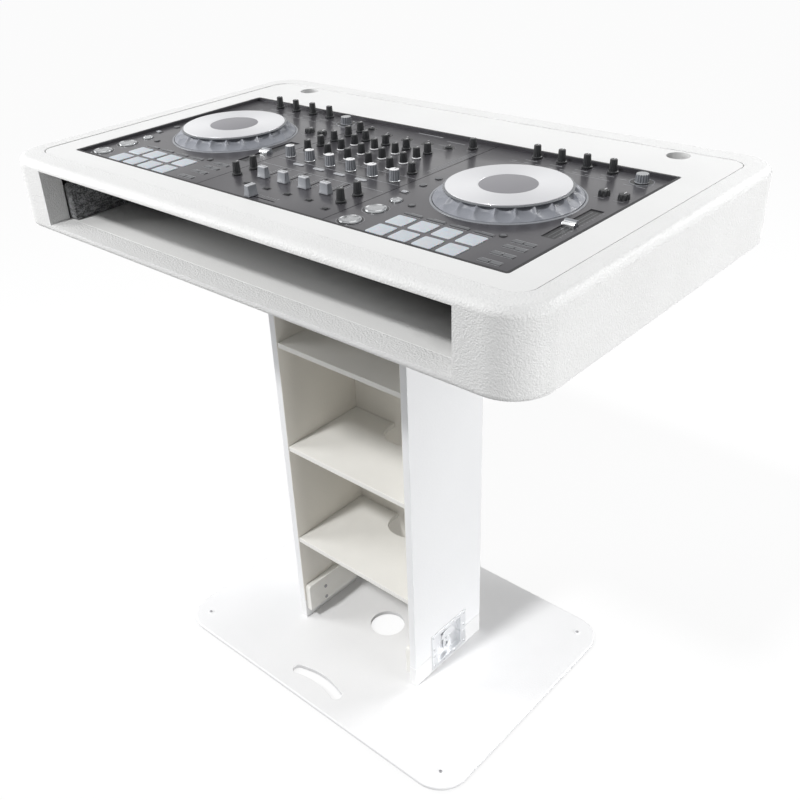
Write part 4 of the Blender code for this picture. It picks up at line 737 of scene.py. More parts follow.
def eased_copy(node, width, finish, slot, limit=50):
    """A copy of a solid with its crisp edges rounded over, which stands for it."""
    source = frame["nodes"][node]
    bm = bmesh.new()
    bm.from_mesh(source.data)
    bmesh.ops.remove_doubles(bm, verts=bm.verts, dist=1e-6)
    bmesh.ops.dissolve_limit(bm, angle_limit=math.radians(0.5), verts=bm.verts, edges=bm.edges)
    for face in bm.faces:
        face.material_index = 0
    crisp = [edge for edge in bm.edges
             if len(edge.link_faces) == 2 and edge.calc_face_angle() > math.radians(limit)]
    bmesh.ops.bevel(bm, geom=crisp, offset=width, offset_type="OFFSET", segments=2, profile=0.5,
                    affect="EDGES", clamp_overlap=True)
    piece = make(f"eased_{node}", bm, [finish], angle=50)
    weigh(piece)
    dress(piece, source["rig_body"], slot, node)


# Stand

def hand_slot(length, width, bow, middle, steps=16):
    """Outline of a hand slot whose long edges both bow towards +Y, with round ends."""
    half = length / 2 - width / 2
    points = []
    for end in (1, -1):
        for i in range(steps + 1):
            angle = math.radians(180 * i / steps - 90 * end)
            points.append((end * half + width / 2 * math.cos(angle), width / 2 * math.sin(angle)))
        points += [(end * half * (1 - 2 * i / steps), end * width / 2) for i in range(1, steps)]
    return [(middle[0] + x, middle[1] + y + bow * (1 - min(1.0, abs(x) / half) ** 2)) for x, y in points]


def make_base():
    half = BASE.half
    bm = bmesh.new()
    add_rounded_slab(bm, half, BASE.low.z, BASE.high.z, BASE_CORNER_RADIUS, BASE_EDGE_ROUND,
                     BASE_EDGE_ROUND, 24, 5)
    plate = make("base_plate_coated", bm, [BASE_COAT])
    bm = bmesh.new()
    below = BASE.low.z - half.z
    above = BASE.high.z + half.z
    slot_middle = (0.0, BASE.low.y + HAND_SLOT_INSET)
    add_prism(bm, hand_slot(HAND_SLOT_LENGTH, HAND_SLOT_WIDTH, HAND_SLOT_BOW, slot_middle), below, above)
    add_hole(bm, (0.0, CABLE_HOLE_SHIFT), CABLE_HOLE_RADIUS, below, above, 72)
    carve(plate, bm)
    ease(plate, 0.0012)
    weigh(plate)
    dress(plate, "stand", "white_coat", "base_plate")


def make_feet():
    """Rubber feet, and on the plate above each one a washer and a countersunk screw."""
    top = BASE.high.z + GAP / 2
    for depth in ("front", "back"):
        for side, foot in pair(f"base_foot_{depth}"):
            middle = foot.middle
            low = foot.low.z
            bm = bmesh.new()
            add_turned(bm, middle, [(0.0096, low), (0.0112, low + 0.0005), (0.0118, BASE.low.z - GAP)])
            add_turned(bm, middle, [(0.0064, 0.0), (0.0064, 0.0006), (0.0058, 0.0010), (0.0036, 0.0010),
                                    (0.0030, 0.0006)], 32, top, 1)
            add_turned(bm, middle, [(0.0029, 0.0), (0.0029, 0.0016), (0.0022, 0.0023), (0.0009, 0.0023),
                                    (0.0007, 0.0016)], 24, top, 2)
            add_piece(f"foot_{depth}_{side}", bm, [RUBBER, WHITE_PLASTIC, DARK_ZINC], "rubber", foot.name)


def make_column():
    for side, _ in SIDES:
        eased_copy(f"column_side_{side}", 0.0009, COLUMN_COAT_PAINTED_SHADE, "white_coat")
        eased_copy(f"cleat_{side}", 0.0007, WHITE_PAINT_WARM_SHADE, "white_paint", 70)
    eased_copy("column_back", 0.0008, COLUMN_COAT_PAINTED_SHADE, "white_coat")
    eased_copy("base_kerb", 0.0006, WHITE_COAT_FINE, "white_coat")
    for name in ("lower", "middle", "upper"):
        eased_copy(f"shelf_{name}", 0.0008, WHITE_PAINT_WARM_SHADE, "white_paint")
    eased_copy("column_top_board", 0.0005, WHITE_PAINT_WARM_SHADE, "white_paint", 70)


def make_head():
    half = HEAD.half
    deck_half = DECK.half + Vector((GAP, GAP, 0.0))
    inner_x = half.x - HEAD_WALL
    front = FRONT_WALL - half.y
    back = half.y - HEAD_WALL
    rim_underside = HEAD.high.z - RIM_THICKNESS
    ledge_underside = rim_underside - LEDGE_THICKNESS
    low = HEAD.low.z
    bm = bmesh.new()
    add_rounded_slab(bm, half, low, HEAD.high.z - RIM_DROP, HEAD_CORNER_RADIUS, HEAD_BOTTOM_ROUND,
                     HEAD_TOP_ROUND, 26, 8)
    shell = make("head_shell_coated", bm, [WHITE_COAT])
    bm = bmesh.new()
    add_prism(bm, rounded_rectangle(inner_x, (back - front) / 2, HEAD_CORNER_RADIUS - HEAD_WALL,
                                    (0.0, (front + back) / 2), 12), low - RIM_THICKNESS, ledge_underside)
    carve(shell, bm)
    bm = bmesh.new()
    add_box(bm, (LEDGE_WIDTH - deck_half.x, front, ledge_underside - LEDGE_THICKNESS),
            (deck_half.x - LEDGE_WIDTH, deck_half.y - LEDGE_WIDTH, rim_underside))
    carve(shell, bm)
    bm = bmesh.new()
    add_box(bm, (-TRAY_HALF_WIDTH, -half.y - FRONT_WALL, TRAY_FLOOR),
            (TRAY_HALF_WIDTH, front + GAP, rim_underside))
    carve(shell, bm)
    ease(shell, 0.0012)
    bm = bmesh.new()
    add_prism(bm, rounded_rectangle(deck_half.x, deck_half.y, DECK_CORNER_RADIUS, steps=16),
              rim_underside - GAP, HEAD.high.z + RIM_THICKNESS)
    carve(shell, bm)
    ease(shell, 0.0004)
    weigh(shell)
    dress(shell, "stand", "white_coat", "head_shell")


def make_deck():
    half = DECK.half + Vector((GAP - SEAM_GROOVE, GAP - SEAM_GROOVE, 0.0))
    bm = bmesh.new()
    add_prism(bm, rounded_rectangle(half.x, half.y, DECK_CORNER_RADIUS - SEAM_GROOVE, steps=16),
              DECK.low.z, DECK.high.z + DECK_LIFT)
    deck = make("top_deck_coated", bm, [DECK_COAT])
    bm = bmesh.new()
    below = DECK.low.z - RIM_THICKNESS
    above = DECK.high.z + RIM_THICKNESS
    add_prism(bm, rounded_rectangle(PLATE.half.x + PLATE_FIT, PLATE.half.y + PLATE_FIT, PLATE_CORNER_RADIUS,
                                    PLATE.middle, 8), below, above)
    for _, side in SIDES:
        add_hole(bm, (side * DECK_HOLE_X, DECK_HOLE_Y), DECK_HOLE_RADIUS, below, above, 56)
    carve(deck, bm)
    ease(deck, 0.0005)
    weigh(deck)
    dress(deck, "stand", "white_coat", "top_deck")
    eased_copy("head_floor", 0.0006, TRAY_COAT_PAINTED_SHADE, "white_coat", 70)


def make_supports():
    """Boards wrapped in carpet, which carry the controller."""
    for side, board in pair("support_board"):
        left = board.low.x
        right = board.high.x
        half = board.half
        rings = []
        for x, inset in ((left, 0.002), (left + 0.0006, 0.0007), (left + 0.002, 0.0),
                         (right - 0.002, 0.0), (right - 0.0006, 0.0007), (right, 0.002)):
            outline = rounded_rectangle(half.y - inset, half.z - inset, SUPPORT_ROUND, board.middle.yz, 8)
            rings.append(at_level(outline, x, "x"))
        bm = bmesh.new()
        add_loft(bm, rings)
        add_piece(f"carpet_board_{side}", bm, [CARPET], "carpet", board.name)


# Controller

def make_faceplate():
    half = PLATE.half
    bm = bmesh.new()
    levels = [(PLATE.low.z - PLATE_TOP, 0.0), (-0.0012, 0.0), (-0.0003, 0.0004), (0.0, 0.0011)]
    add_stack(bm, PLATE.middle, half.x, half.y, levels, PLATE_CORNER_RADIUS, 8, PLATE_TOP)
    plate = make("faceplate_brushed", bm, [GRAPHITE])
    below = PLATE.low.z - half.z
    above = PLATE_TOP + half.z
    bm = bmesh.new()
    slot = SLOT_WIDTH / 2
    reach = FADER_TRAVEL + FADER_PLAY
    for fader in FADERS:
        x, y, _ = fader.middle
        add_box(bm, (x - slot, y - FADER_PLAY, below), (x + slot, y + reach, above))
    x, y, _ = CROSSFADER.middle
    add_box(bm, (x - FADER_PLAY, y - slot, below), (x + reach, y + slot, above))
    reach = PAD_SIZE / 2 + PAD_FIT
    for side, _ in SIDES:
        for kind, button in round_buttons(side):
            add_hole(bm, button.middle, button.half.x + ROUND_BUTTON_FIT[kind], below, above, 48)
        for place in pad_places(side):
            add_prism(bm, rounded_rectangle(reach, reach, 0.0029, place, 4), below, above)
        add_block(bm, tempo_place(side), TEMPO_WELL_WIDTH / 2, TEMPO_WELL_LENGTH / 2,
                  PLATE_TOP - TEMPO_WELL_DEPTH, above)
    carve(plate, bm)
    bm = bmesh.new()
    groove = MIXER_SEAM_WIDTH / 2
    for x in MIXER_SEAMS:
        add_block(bm, (x, PLATE.middle.y), groove, half.y + groove, PLATE_TOP - MIXER_SEAM_DEPTH, above)
    carve(plate, bm)
    dress(plate, "stand", "graphite", PLATE.name)


def make_border():
    """A black frame round the faceplate, at the height of the deck."""
    half = PLATE.half
    middle = PLATE.middle
    top = DECK.high.z + BORDER_RISE
    bm = bmesh.new()
    levels = [(PLATE_TOP - 0.0010, -BORDER_OUTSET), (top - 0.0004, -BORDER_OUTSET),
              (top, 0.0004 - BORDER_OUTSET)]
    add_stack(bm, middle, half.x, half.y, levels, PLATE_CORNER_RADIUS, 8)
    border = make("faceplate_border", bm, [BLACK_CASE, GRAPHITE])
    bm = bmesh.new()
    inset = BORDER_WIDTH - BORDER_OUTSET
    outline = rounded_rectangle(half.x - inset, half.y - inset, PLATE_CORNER_RADIUS - inset, middle, 8)
    add_prism(bm, outline, PLATE.low.z - half.z, DECK.high.z + half.z)
    carve(border, bm)
    for face in border.data.polygons:
        face.material_index = 0 if abs(face.normal.z) > 0.5 else 1
    dress(border, "stand", "black_plastic")


def make_jog_surrounds():
    bm = bmesh.new()
    profile = [(0.0006, -0.0001), (0.0006, 0.0007), (0.0014, BEZEL_RISE), (0.0024, BEZEL_RISE),
               (0.0038, 0.0006), (0.0041, -0.0001)]
    for _, jog in pair("jog_wheel"):
        add_ring(bm, jog.middle, profile, 144, jog.half.x)
    add_piece("jog_surrounds", bm, [SILVER_SATIN], "silver")


def pad_places(side):
    """Middles of the eight pads of a deck."""
    x, y, _ = Solid(f"pad_mat_{side}").middle
    return [(x + PAD_PITCH * i, y + PAD_PITCH * j) for j in (-0.5, 0.5) for i in PAD_STEPS]


def tempo_place(side):
    return Solid(f"tempo_slider_{side}").middle.x, row(TEMPO_WELL_Y)


def make_wells():
    """Black floors of the tempo wells, and black rings round the round buttons."""
    bm = bmesh.new()
    low = PLATE_TOP - TEMPO_WELL_DEPTH
    half_x = TEMPO_WELL_WIDTH / 2 - GAP
    half_y = TEMPO_WELL_LENGTH / 2 - GAP
    for side, _ in SIDES:
        x, y = tempo_place(side)
        add_stack(bm, (x, y), half_x, half_y, [(-0.0002, 0.0), (0.0002, 0.0)], 0.001, base=low)
        for edge in (-1, 1):
            rail = (x + edge * TEMPO_RAIL_SHIFT, y)
            add_block(bm, rail, 0.0006, half_y - 0.006, low, low + 0.00025, 1)
        profile = [(0.0001, -0.0002), (0.0001, 0.0004), (0.0017, 0.0004), (0.0019, -0.0002)]
        for _, button in round_buttons(side):
            add_ring(bm, button.middle, profile, 56, button.half.x)
    add_piece("black_wells", bm, [BLACK_WELL, GREY_BUTTON], "black_plastic")


def add_knob(bm, middle, skirt, foot, top, skirt_height, height, flutes, groove, rim=0, cap=0, pointer=1):
    """A fluted knob: a skirt, a tapered grip, an eased top edge, and a pointer let into its top."""
    edge = 0.0006
    segments = flutes * 6
    profile = [(skirt - edge / 2, 0.0, 0.0, rim), (skirt, edge / 2, 0.0, rim),
               (skirt, skirt_height - edge, 0.0, rim), (skirt - edge, skirt_height, 0.0, rim),
               (foot, skirt_height + edge / 2, 1.0, 0), (top, height - edge * 1.4, 1.0, 0),
               (top - edge * 0.35, height - edge * 0.4, 0.4, 0), (top - edge, height, 0.0, cap)]
    rings = []
    for radius, rise, share, _ in profile:
        depths = [groove * share * depth for depth in (1.0, 0.7, 0.0, 0.0, 0.0, 0.7)]
        points = circle(middle, segments, lambda i, _: radius - depths[i % 6])
        rings.append(at_level(points, CONTROL_FOOT + rise))
    add_loft(bm, rings, bands=[rim, *(level[3] for level in profile[1:]), cap])
    if pointer is not None:
        x, y = middle[:2]
        top_z = CONTROL_FOOT + height
        add_box(bm, (x - 0.0005, y + top * 0.15, top_z - 0.0003),
                (x + 0.0005, y + top - edge * 0.8, top_z + 0.00015), pointer)


def make_black_knobs():
    """Knobs that share the mixer's board and the boards of the decks."""
    bm = bmesh.new()
    for x in CHANNELS:
        for distance in EQ_ROWS:
            add_knob(bm, (x, row(distance)), *EQ_KNOB, rim=1)
    add_piece("equaliser_knobs", bm, [BLACK_KNOB, WHITE_PLASTIC], "black_plastic", "mixer_board")
    bm = bmesh.new()
    for x in CHANNELS:
        add_knob(bm, (x, row(TRIM_ROW)), *TRIM_KNOB)
    for (column, rows), shape in zip(OUTER_COLUMNS, (TRIM_KNOB, MASTER_KNOB)):
        for distance in rows:
            add_knob(bm, (column, row(distance)), *shape)
        for distance in OUTER_TALL_ROWS:
            add_knob(bm, (column, row(distance)), *TALL_KNOB)
    add_piece("mixer_knobs", bm, [BLACK_KNOB, WHITE_PLASTIC], "black_plastic")
    bm = bmesh.new()
    for x in CHANNELS:
        add_selector(bm, (x + SELECTOR_SHIFT, row(SELECTOR_ROW)))
    add_selector(bm, (MIC_COLUMN + MIC_SELECTOR_SHIFT, row(MIC_SELECTOR_ROW)))
    add_piece("source_selectors", bm, [BLACK_KNOB, WHITE_PLASTIC, BLACK_WELL], "black_plastic")
    for side, deck_x in DECK_MIDDLES:
        bm = bmesh.new()
        for shift in EFFECT_X:
            add_knob(bm, (deck_x + shift, row(EFFECT_Y)), *TALL_KNOB)
        for shift in LOW_KNOB_X:
            add_lobed_knob(bm, (deck_x + shift, row(LOW_KNOB_Y)))
        node = f"deck_board_{side}"
        add_piece(f"effect_knobs_{side}", bm, [BLACK_KNOB, WHITE_PLASTIC], "black_plastic", node)


def add_selector(bm, middle):
    """A low rotary selector with a raised bar, in a shallow dish."""
    low = CONTROL_FOOT
    add_turned(bm, middle, [(0.0100, -GAP), (0.0098, 0.0001), (0.0072, 0.0002)], 40, low, 2)
    add_turned(bm, middle, [(0.0060, 0.0), (0.0060, 0.0016), (0.0052, 0.0022)], 32, low)
    levels = [(0.0018, 0.0), (0.0032, 0.0003, 0.0002), (0.0038, 0.0008, 0.0007)]
    add_stack(bm, middle, 0.0016, 0.0054, levels, 0.0008, base=low)
    add_block(bm, (middle[0], middle[1] + 0.0029), 0.0004, 0.0017, low + 0.0036, low + 0.00392, 1)


def add_lobed_knob(bm, middle):
    """A low knob with eight lobes and a pale pointer."""
    low = CONTROL_FOOT
    rings = []
    for radius, rise, share in ((0.0084, 0.0, 0.4), (0.0085, 0.0016, 1.0), (0.0080, 0.0052, 1.0),
                                (0.0072, 0.0063, 0.6), (0.0060, 0.0066, 0.0)):
        depth = 0.0019 * share
        lobes = circle(middle, 64, lambda _, angle: radius - depth * (0.5 - 0.5 * math.cos(8 * angle)))
        rings.append(at_level(lobes, low + rise))
    add_loft(bm, rings)
    add_block(bm, (middle[0], middle[1] + 0.00355), 0.0006, 0.00305, low + 0.0060, low + 0.0071, 1)


def add_silver_knob(name, solid, finishes, shape, **indices):
    height = solid.high.z - CONTROL_FOOT
    bm = bmesh.new()
    add_knob(bm, solid.middle, *shape[:4], height, *shape[4:], **indices)
    add_moving(name, bm, finishes, "silver", solid, CONTROL_FOOT, solid.name)


def make_silver_knobs():
    finishes = [SILVER_SATIN, WHITE_PLASTIC, RIM_SILVER, BLACK_KNOB]
    for i, knob in enumerate(COLOUR_KNOBS):
        name = f"colour_knob_fluted_{i + 1}"
        add_silver_knob(name, knob, finishes, COLOUR_KNOB, rim=2, cap=1, pointer=3)
    for side, knob in pair("browse_knob"):
        name = f"browse_knob_fluted_{side}"
        add_silver_knob(name, knob, [SILVER_SATIN, RIM_SILVER], BROWSE_KNOB, cap=1, pointer=None)
        bm = bmesh.new()
        dish = [(0.0104, 0.0), (0.0162, 0.0), (0.0160, 0.0003), (0.0106, 0.0002)]
        add_ring(bm, knob.middle, dish, 64)
        rim = [(0.0163, 0.0), (0.0173, 0.0), (0.0171, 0.0005), (0.0165, 0.0005)]
        add_ring(bm, knob.middle, rim, 64, index=1)
        add_piece(f"browse_dish_{side}", bm, [BLACK_WELL, SILVER_SATIN], "graphite")


def make_faders():
    low = CONTROL_FOOT
    for fader in (*FADERS, CROSSFADER):
        middle = fader.middle
        top = fader.high.z
        half = fader.half
        long_x = half.x > half.y
        taper = (0.0012, 0.0021) if long_x else (0.0021, 0.0012)
        half_x = half.x - taper[0]
        half_y = half.y - taper[1]
        bm = bmesh.new()
        levels = [(low, 0.0005), (low + 0.0005, 0.0), (low + 0.0016, 0.0), (low + 0.0028, 0.0006),
                  (top - 0.0014, *taper)]
        add_stack(bm, middle, half.x, half.y, levels, 0.0009)
        levels = [(-0.0014, 0.0), (-0.0004, 0.0), (0.0, 0.0006)]
        add_stack(bm, middle, half_x, half_y, levels, 0.0009, base=top, index=1)
        mark = (half_x - 0.0008, 0.0005) if long_x else (0.0005, half_y - 0.0008)
        add_block(bm, middle, *mark, top - 0.0003, top + 0.0001, 2)
        stem = (0.0007, 0.0025) if long_x else (0.0025, 0.0007)
        add_block(bm, middle, *stem, low - 0.006, low, 2)
        finishes = [SILVER_SATIN, PALE_SATIN, BLACK_KNOB]
        add_moving(f"{fader.name}_cap", bm, finishes, "silver", fader, low, fader.name)


def make_tempo_caps():
    for side, slider in pair("tempo_slider"):
        x, y, _ = slider.middle
        low = PLATE_TOP - TEMPO_WELL_DEPTH + GAP
        top = slider.high.z
        edge = slider.half.y
        profile = [(-edge, low), (edge, low), (edge, low + 0.0020), (edge - 0.0014, top - 0.0006),
                   (edge - 0.0024, top), (0.0012, top), (-0.0002, top - 0.0016), (-0.0012, top - 0.0022),
                   (0.0018 - edge, top - 0.0020), (-edge, top - 0.0042)]
        bm = bmesh.new()
        outline = [(y + shift, height) for shift, height in profile]
        add_prism(bm, outline, x - slider.half.x, x + slider.half.x, "x")
        for face in bm.faces:
            spot = face.calc_center_median()
            if spot.y < y - 0.0006 and spot.z > low + 0.002:
                face.material_index = 1
        add_block(bm, (x, y), 0.0007, 0.0025, low - 0.006, low + 0.001, 2)
        cap = make(f"tempo_cap_{side}", bm, [SILVER_SATIN, CHROME, BLACK_KNOB], (x, y, low))
        ease(cap, 0.0005, 30)
        dress(cap, slider.name, "silver", slider.name)


def make_round_buttons():
    for side, _ in SIDES:
        for kind, button in round_buttons(side):
            low = button.low.z
            top = button.high.z
            radius = button.half.x
            bm = bmesh.new()
            wall = [(radius, low - top), (radius, -0.0007), (radius - 0.0003, -0.0002),
                    (radius - 0.0009, 0.0)]
            add_turned(bm, button.middle, wall, 64, top, 1)
            face = [(radius - 0.0011, -0.0002), (radius - 0.0012, 0.00005), (radius * 0.06, -0.0002)]
            add_turned(bm, button.middle, face, 64, top)
            add_moving(f"{kind}_button_face_{side}", bm, [SPUN_BUTTON_PAINTED_REFLECTIONS, RIM_SILVER], "silver", button, low,
                       button.name)


def make_pads():
    for side, mat in pair("pad_mat"):
        top = mat.high.z
        sheet_top = PLATE.low.z - GAP
        bm = bmesh.new()
        add_box(bm, mat.low, (mat.high.x, mat.high.y, sheet_top))
        levels = [(sheet_top - top, 0.0), (-0.0006, 0.0), (-0.0002, 0.0003), (0.0, 0.0009)]
        for place in pad_places(side):
            add_stack(bm, place, PAD_SIZE / 2, PAD_SIZE / 2, levels, 0.0025, 5, top)
        add_moving(f"pads_silicone_{side}", bm, [SILICONE], "pad_rubber", mat, mat.low.z, mat.name)


def smooth_step(value):
    value = min(1.0, max(0.0, value))
    return value * value * (3 - 2 * value)


def scoop_depth(step, level):
    """Depth of a scoop at a step round the wheel, at a level from 0 at its foot to 1 at its top.

    A scoop widens up to two fifths of the slope, deepens up to half of it, and ends close to its top.
    """
    reach = 0.12 + 0.33 * math.sqrt(min(1.0, level / 0.4))
    along = min(1.0, level / 0.5) ** 0.8 * smooth_step((0.985 - level) / 0.035)
    u = (step % JOG_STEPS) / JOG_STEPS - 0.5
    return JOG_SCOOP_DEPTH * math.sqrt(max(0.0, 1 - (u / reach) ** 2)) * along


def make_jogs():
    segments = JOG_SCOOPS * JOG_STEPS
    for side, jog in pair("jog_wheel"):
        middle = jog.middle
        low = jog.low.z
        top = jog.high.z
        radius = jog.half.x
        shoulder = radius - JOG_SKIRT_WIDTH
        disc = shoulder - JOG_SHOULDER_WIDTH
        slope_low = low + 0.0012
        slope_top = top - 0.0028
        rings = [at_level(circle(middle, segments, radius - 0.0006), low),
                 at_level(circle(middle, segments, radius), low + 0.0006)]
        for step in range(JOG_LEVELS + 1):
            level = step / JOG_LEVELS
            reach = radius + (shoulder - radius) * level
            ring = circle(middle, segments, lambda i, _: reach - scoop_depth(i, level))
            rings.append(at_level(ring, slope_low + (slope_top - slope_low) * level))
        bm = bmesh.new()
        add_loft(bm, rings)
        add_moving(f"jog_rim_{side}", bm, [JOG_SILVER], "white_disc", jog, low, jog.name, angle=42)
        foot = slope_top - top
        shoulder_profile = [(shoulder + 0.0003, foot), (shoulder + 0.0004, foot + 0.0008),
                            (shoulder - 0.0004, foot + 0.0013), (disc + 0.0006, -0.0010),
                            (disc, -0.0009), (disc - 0.002, -0.0030)]
        disc_profile = [(disc, -0.0030), (disc, -0.0005), (disc - 0.0003, -0.0001), (disc - 0.0008, 0.0),
                        (JOG_MIDDLE_RADIUS + 0.0008, 0.0), (JOG_MIDDLE_RADIUS + 0.0004, -0.0004)]
        middle_profile = [(JOG_MIDDLE_RADIUS, -0.0006), (JOG_MIDDLE_RADIUS, -0.00015),
                          (JOG_MIDDLE_RADIUS - 0.0004, 0.0)]
        for name, profile, turns, finish, slot in (
                ("shoulder", shoulder_profile, 128, JOG_SHOULDER, "silver"),
                ("disc", disc_profile, 128, SPUN_DISC_PAINTED_REFLECTIONS, "white_disc"),
                ("middle", middle_profile, 96, JOG_BADGE, "silver")):
            bm = bmesh.new()
            add_turned(bm, middle, profile, turns, top)
            add_moving(f"jog_{name}_{side}", bm, [finish], slot, jog, low)


def make_small_buttons():
    low = CONTROL_FOOT
    bm = bmesh.new()
    for x in CHANNELS:
        add_switch(bm, (x, row(SWITCH_ROW)))
        add_pill(bm, (x, row(CUE_LIGHT_ROW)), 0.0110, 0.0034, low, 0.0009, 1)
    add_switch(bm, (MASTER_COLUMN, row(SWITCH_ROW_LAST)))
    add_piece("mixer_buttons", bm, [BLACK_KNOB, PALE_BUTTON, BLACK_WELL], "black_plastic")
    for side, deck_x in DECK_MIDDLES:
        bm = bmesh.new()
        for distance in CORNER_BUTTON_ROWS:
            for shift in (-0.0086, 0.0086):
                spot = (deck_x + CORNER_BUTTON_X + shift, row(distance))
                add_pill(bm, spot, 0.0078, 0.0036, low, 0.0007, 0, 0.0006)
        for distance in LOOP_ROWS:
            add_pill(bm, (deck_x + LOOP_X, row(distance)), 0.0056, 0.0056, low, 0.0010, 0)
        for x, distance in ((SLIP_X, SLIP_Y), (DISPLAY_BUTTON_X, DISPLAY_BUTTON_Y)):
            spot = (deck_x + x, row(distance))
            add_turned(bm, spot, [(0.0056, -GAP), (0.0055, 0.0004), (0.0046, 0.0006)], 40, low, 2)
            add_turned(bm, spot, [(0.0040, 0.0), (0.0040, 0.0010), (0.0034, 0.0014)], 40, low)
        spot = (deck_x + SHIFT_X, row(SHIFT_Y))
        add_pill(bm, spot, 0.0078, 0.0052, low - GAP, 0.0004, 2, 0.0008)
        add_pill(bm, spot, 0.0046, 0.0030, low, 0.0016, 1, 0.0008)
        mat = Solid(f"pad_mat_{side}").middle
        for step in PAD_STEPS:
            spot = (mat.x + PAD_PITCH * step, mat.y + 0.0448)
            add_pill(bm, spot, 0.0150, 0.0026, low - GAP / 2, 0.0009, 0, 0.0005)
        add_piece(f"deck_buttons_{side}", bm, [GREY_BUTTON, PALE_BUTTON, BLACK_WELL], "black_plastic")


def add_pill(bm, middle, half_x, half_y, low, height, index, corner=None):
    """A low button with round ends, or with the given corner radius, and an eased top edge."""
    corner = min(half_x, half_y) * 0.95 if corner is None else corner
    levels = [(0.0, 0.0), (height - 0.0004, 0.0), (height, 0.0004)]
    add_stack(bm, middle, half_x, half_y, levels, corner, 6, low, index)


def add_switch(bm, middle):
    """A black rocker in a square frame."""
    low = CONTROL_FOOT
    add_stack(bm, middle, 0.0060, 0.0046, [(-GAP, 0.0), (0.0001, 0.0)], 0.0008, base=low, index=2)
    add_stack(bm, middle, 0.0042, 0.0028, [(0.0, 0.0), (0.0009, 0.0), (0.0014, 0.0008)], 0.0006, base=low)


def add_bar(bm, x, y, half_x, half_y):
    """A flat bar as thin as ink, for print and for the painted highlights by the corner buttons."""
    add_block(bm, (x, y), half_x, half_y, PLATE_TOP + INK_LOW, PLATE_TOP + INK_HIGH)


def add_dial_marks(bm, x, y, radius):
    """Short strokes round a knob, from its lowest to its highest setting."""
    for i in range(DIAL_MARKS):
        angle = math.radians(90 + 150 - 300 * i / (DIAL_MARKS - 1))
        along = Vector((math.cos(angle), math.sin(angle)))
        across = Vector((-along.y, along.x)) * 0.0002
        near = Vector((x, y)) + along * radius
        far = near + along * DIAL_MARK_LENGTH
        outline = [tuple(point) for point in (near - across, far - across, far + across, near + across)]
        add_prism(bm, outline, PLATE_TOP + INK_LOW, PLATE_TOP + INK_HIGH)


def add_mixer_print(bm):
    fader_y = FADERS[0].middle.y
    for x in CHANNELS:
        for distance in (*EQ_ROWS, TRIM_ROW):
            add_dial_marks(bm, x, row(distance), 0.0082)
            add_bar(bm, x, row(distance) - 0.0112, 0.0040, THICK_LINE)
        for step in range(11):
            reach = 0.0030 if step % 5 == 0 else 0.0018
            for sign in (-1, 1):
                add_bar(bm, x + sign * (0.0062 + reach), fader_y + FADER_TRAVEL * step / 10, reach, LINE)
        add_bar(bm, x, row(CUE_LIGHT_ROW) + 0.0075, 0.0060, LABEL)
        add_bar(bm, x - 0.009, row(CHANNEL_NUMBER_ROW), 0.0030, THICK_LINE)
        add_bar(bm, x, row(CHANNEL_HEAD_ROW), 0.0150, LINE)
    for knob in COLOUR_KNOBS:
        add_dial_marks(bm, knob.middle.x, row(COLOUR_ROW), 0.0098)
    for column, rows in OUTER_COLUMNS:
        for distance in rows:
            add_dial_marks(bm, column, row(distance), 0.0086)
            add_bar(bm, column, row(distance) - 0.0120, 0.0042, THICK_LINE)
        for distance in OUTER_TALL_ROWS:
            add_dial_marks(bm, column, row(distance), 0.0088)
    cross = CROSSFADER.middle
    for step in range(11):
        reach = 0.0028 if step % 5 == 0 else 0.0016
        add_bar(bm, cross.x + FADER_TRAVEL * step / 10, cross.y + 0.0075 + reach, LINE, reach)
    for x, distance, half_x, half_y in SECTION_BARS:
        add_bar(bm, x, row(distance), half_x, half_y)
    for shift in MASTER_BAR_SHIFTS:
        add_bar(bm, MASTER_COLUMN + shift, row(MASTER_BAR_ROW), LINE, 0.055)


def add_deck_print(bm, side, deck_x):
    mat = Solid(f"pad_mat_{side}").middle
    for step in PAD_STEPS:
        x = mat.x + PAD_PITCH * step
        add_bar(bm, x, mat.y + 0.0400, 0.0148, LINE)
        add_bar(bm, x + 0.002, mat.y + 0.0492, 0.0090, THICK_LINE)
    # Painted highlights: pale bars along the back and front edges of each row of corner buttons.
    for distance in CORNER_BUTTON_ROWS:
        add_bar(bm, deck_x + CORNER_BUTTON_X, row(distance) + 0.0060, 0.0160, LINE)
        add_bar(bm, deck_x + CORNER_BUTTON_X, row(distance) - 0.0044, 0.0160, THICK_LINE)
    for shift in EFFECT_X:
        add_dial_marks(bm, deck_x + shift, row(EFFECT_Y), 0.0090)
        add_bar(bm, deck_x + shift, row(EFFECT_Y) - 0.0150, 0.0105, LABEL)
    for shift in LOW_KNOB_X:
        add_dial_marks(bm, deck_x + shift, row(LOW_KNOB_Y), 0.0094)
        add_bar(bm, deck_x + shift, row(LOW_KNOB_Y) - 0.0145, 0.0075, LINE)
    add_bar(bm, deck_x - 0.012, row(DECK_LINE_ROW), 0.085, LINE)
    for i in range(8):
        add_bar(bm, deck_x - 0.092 + 0.021 * i, row(DECK_LABEL_ROW), 0.0045, LABEL)
    tempo_x, tempo_y = tempo_place(side)
    for step in range(-8, 9):
        reach = 0.0016 if step % 4 == 0 else 0.0008
        add_bar(bm, tempo_x + 0.0112 + reach, tempo_y + step * 0.0062, reach, LINE / 2)
    browse = Solid(f"browse_knob_{side}").middle
    for sign in (-1, 1):
        add_bar(bm, browse.x + sign * 0.010, browse.y - 0.0215, 0.0070, LABEL)
    add_bar(bm, browse.x - 0.026, browse.y - 0.005, 0.0050, LABEL)
    ring = [(0.01885, 0.0), (0.01925, 0.0), (0.01925, INK_HIGH), (0.01885, INK_HIGH)]
    for kind in ("cue", "play"):
        add_ring(bm, Solid(f"{kind}_button_{side}").middle, ring, 72)


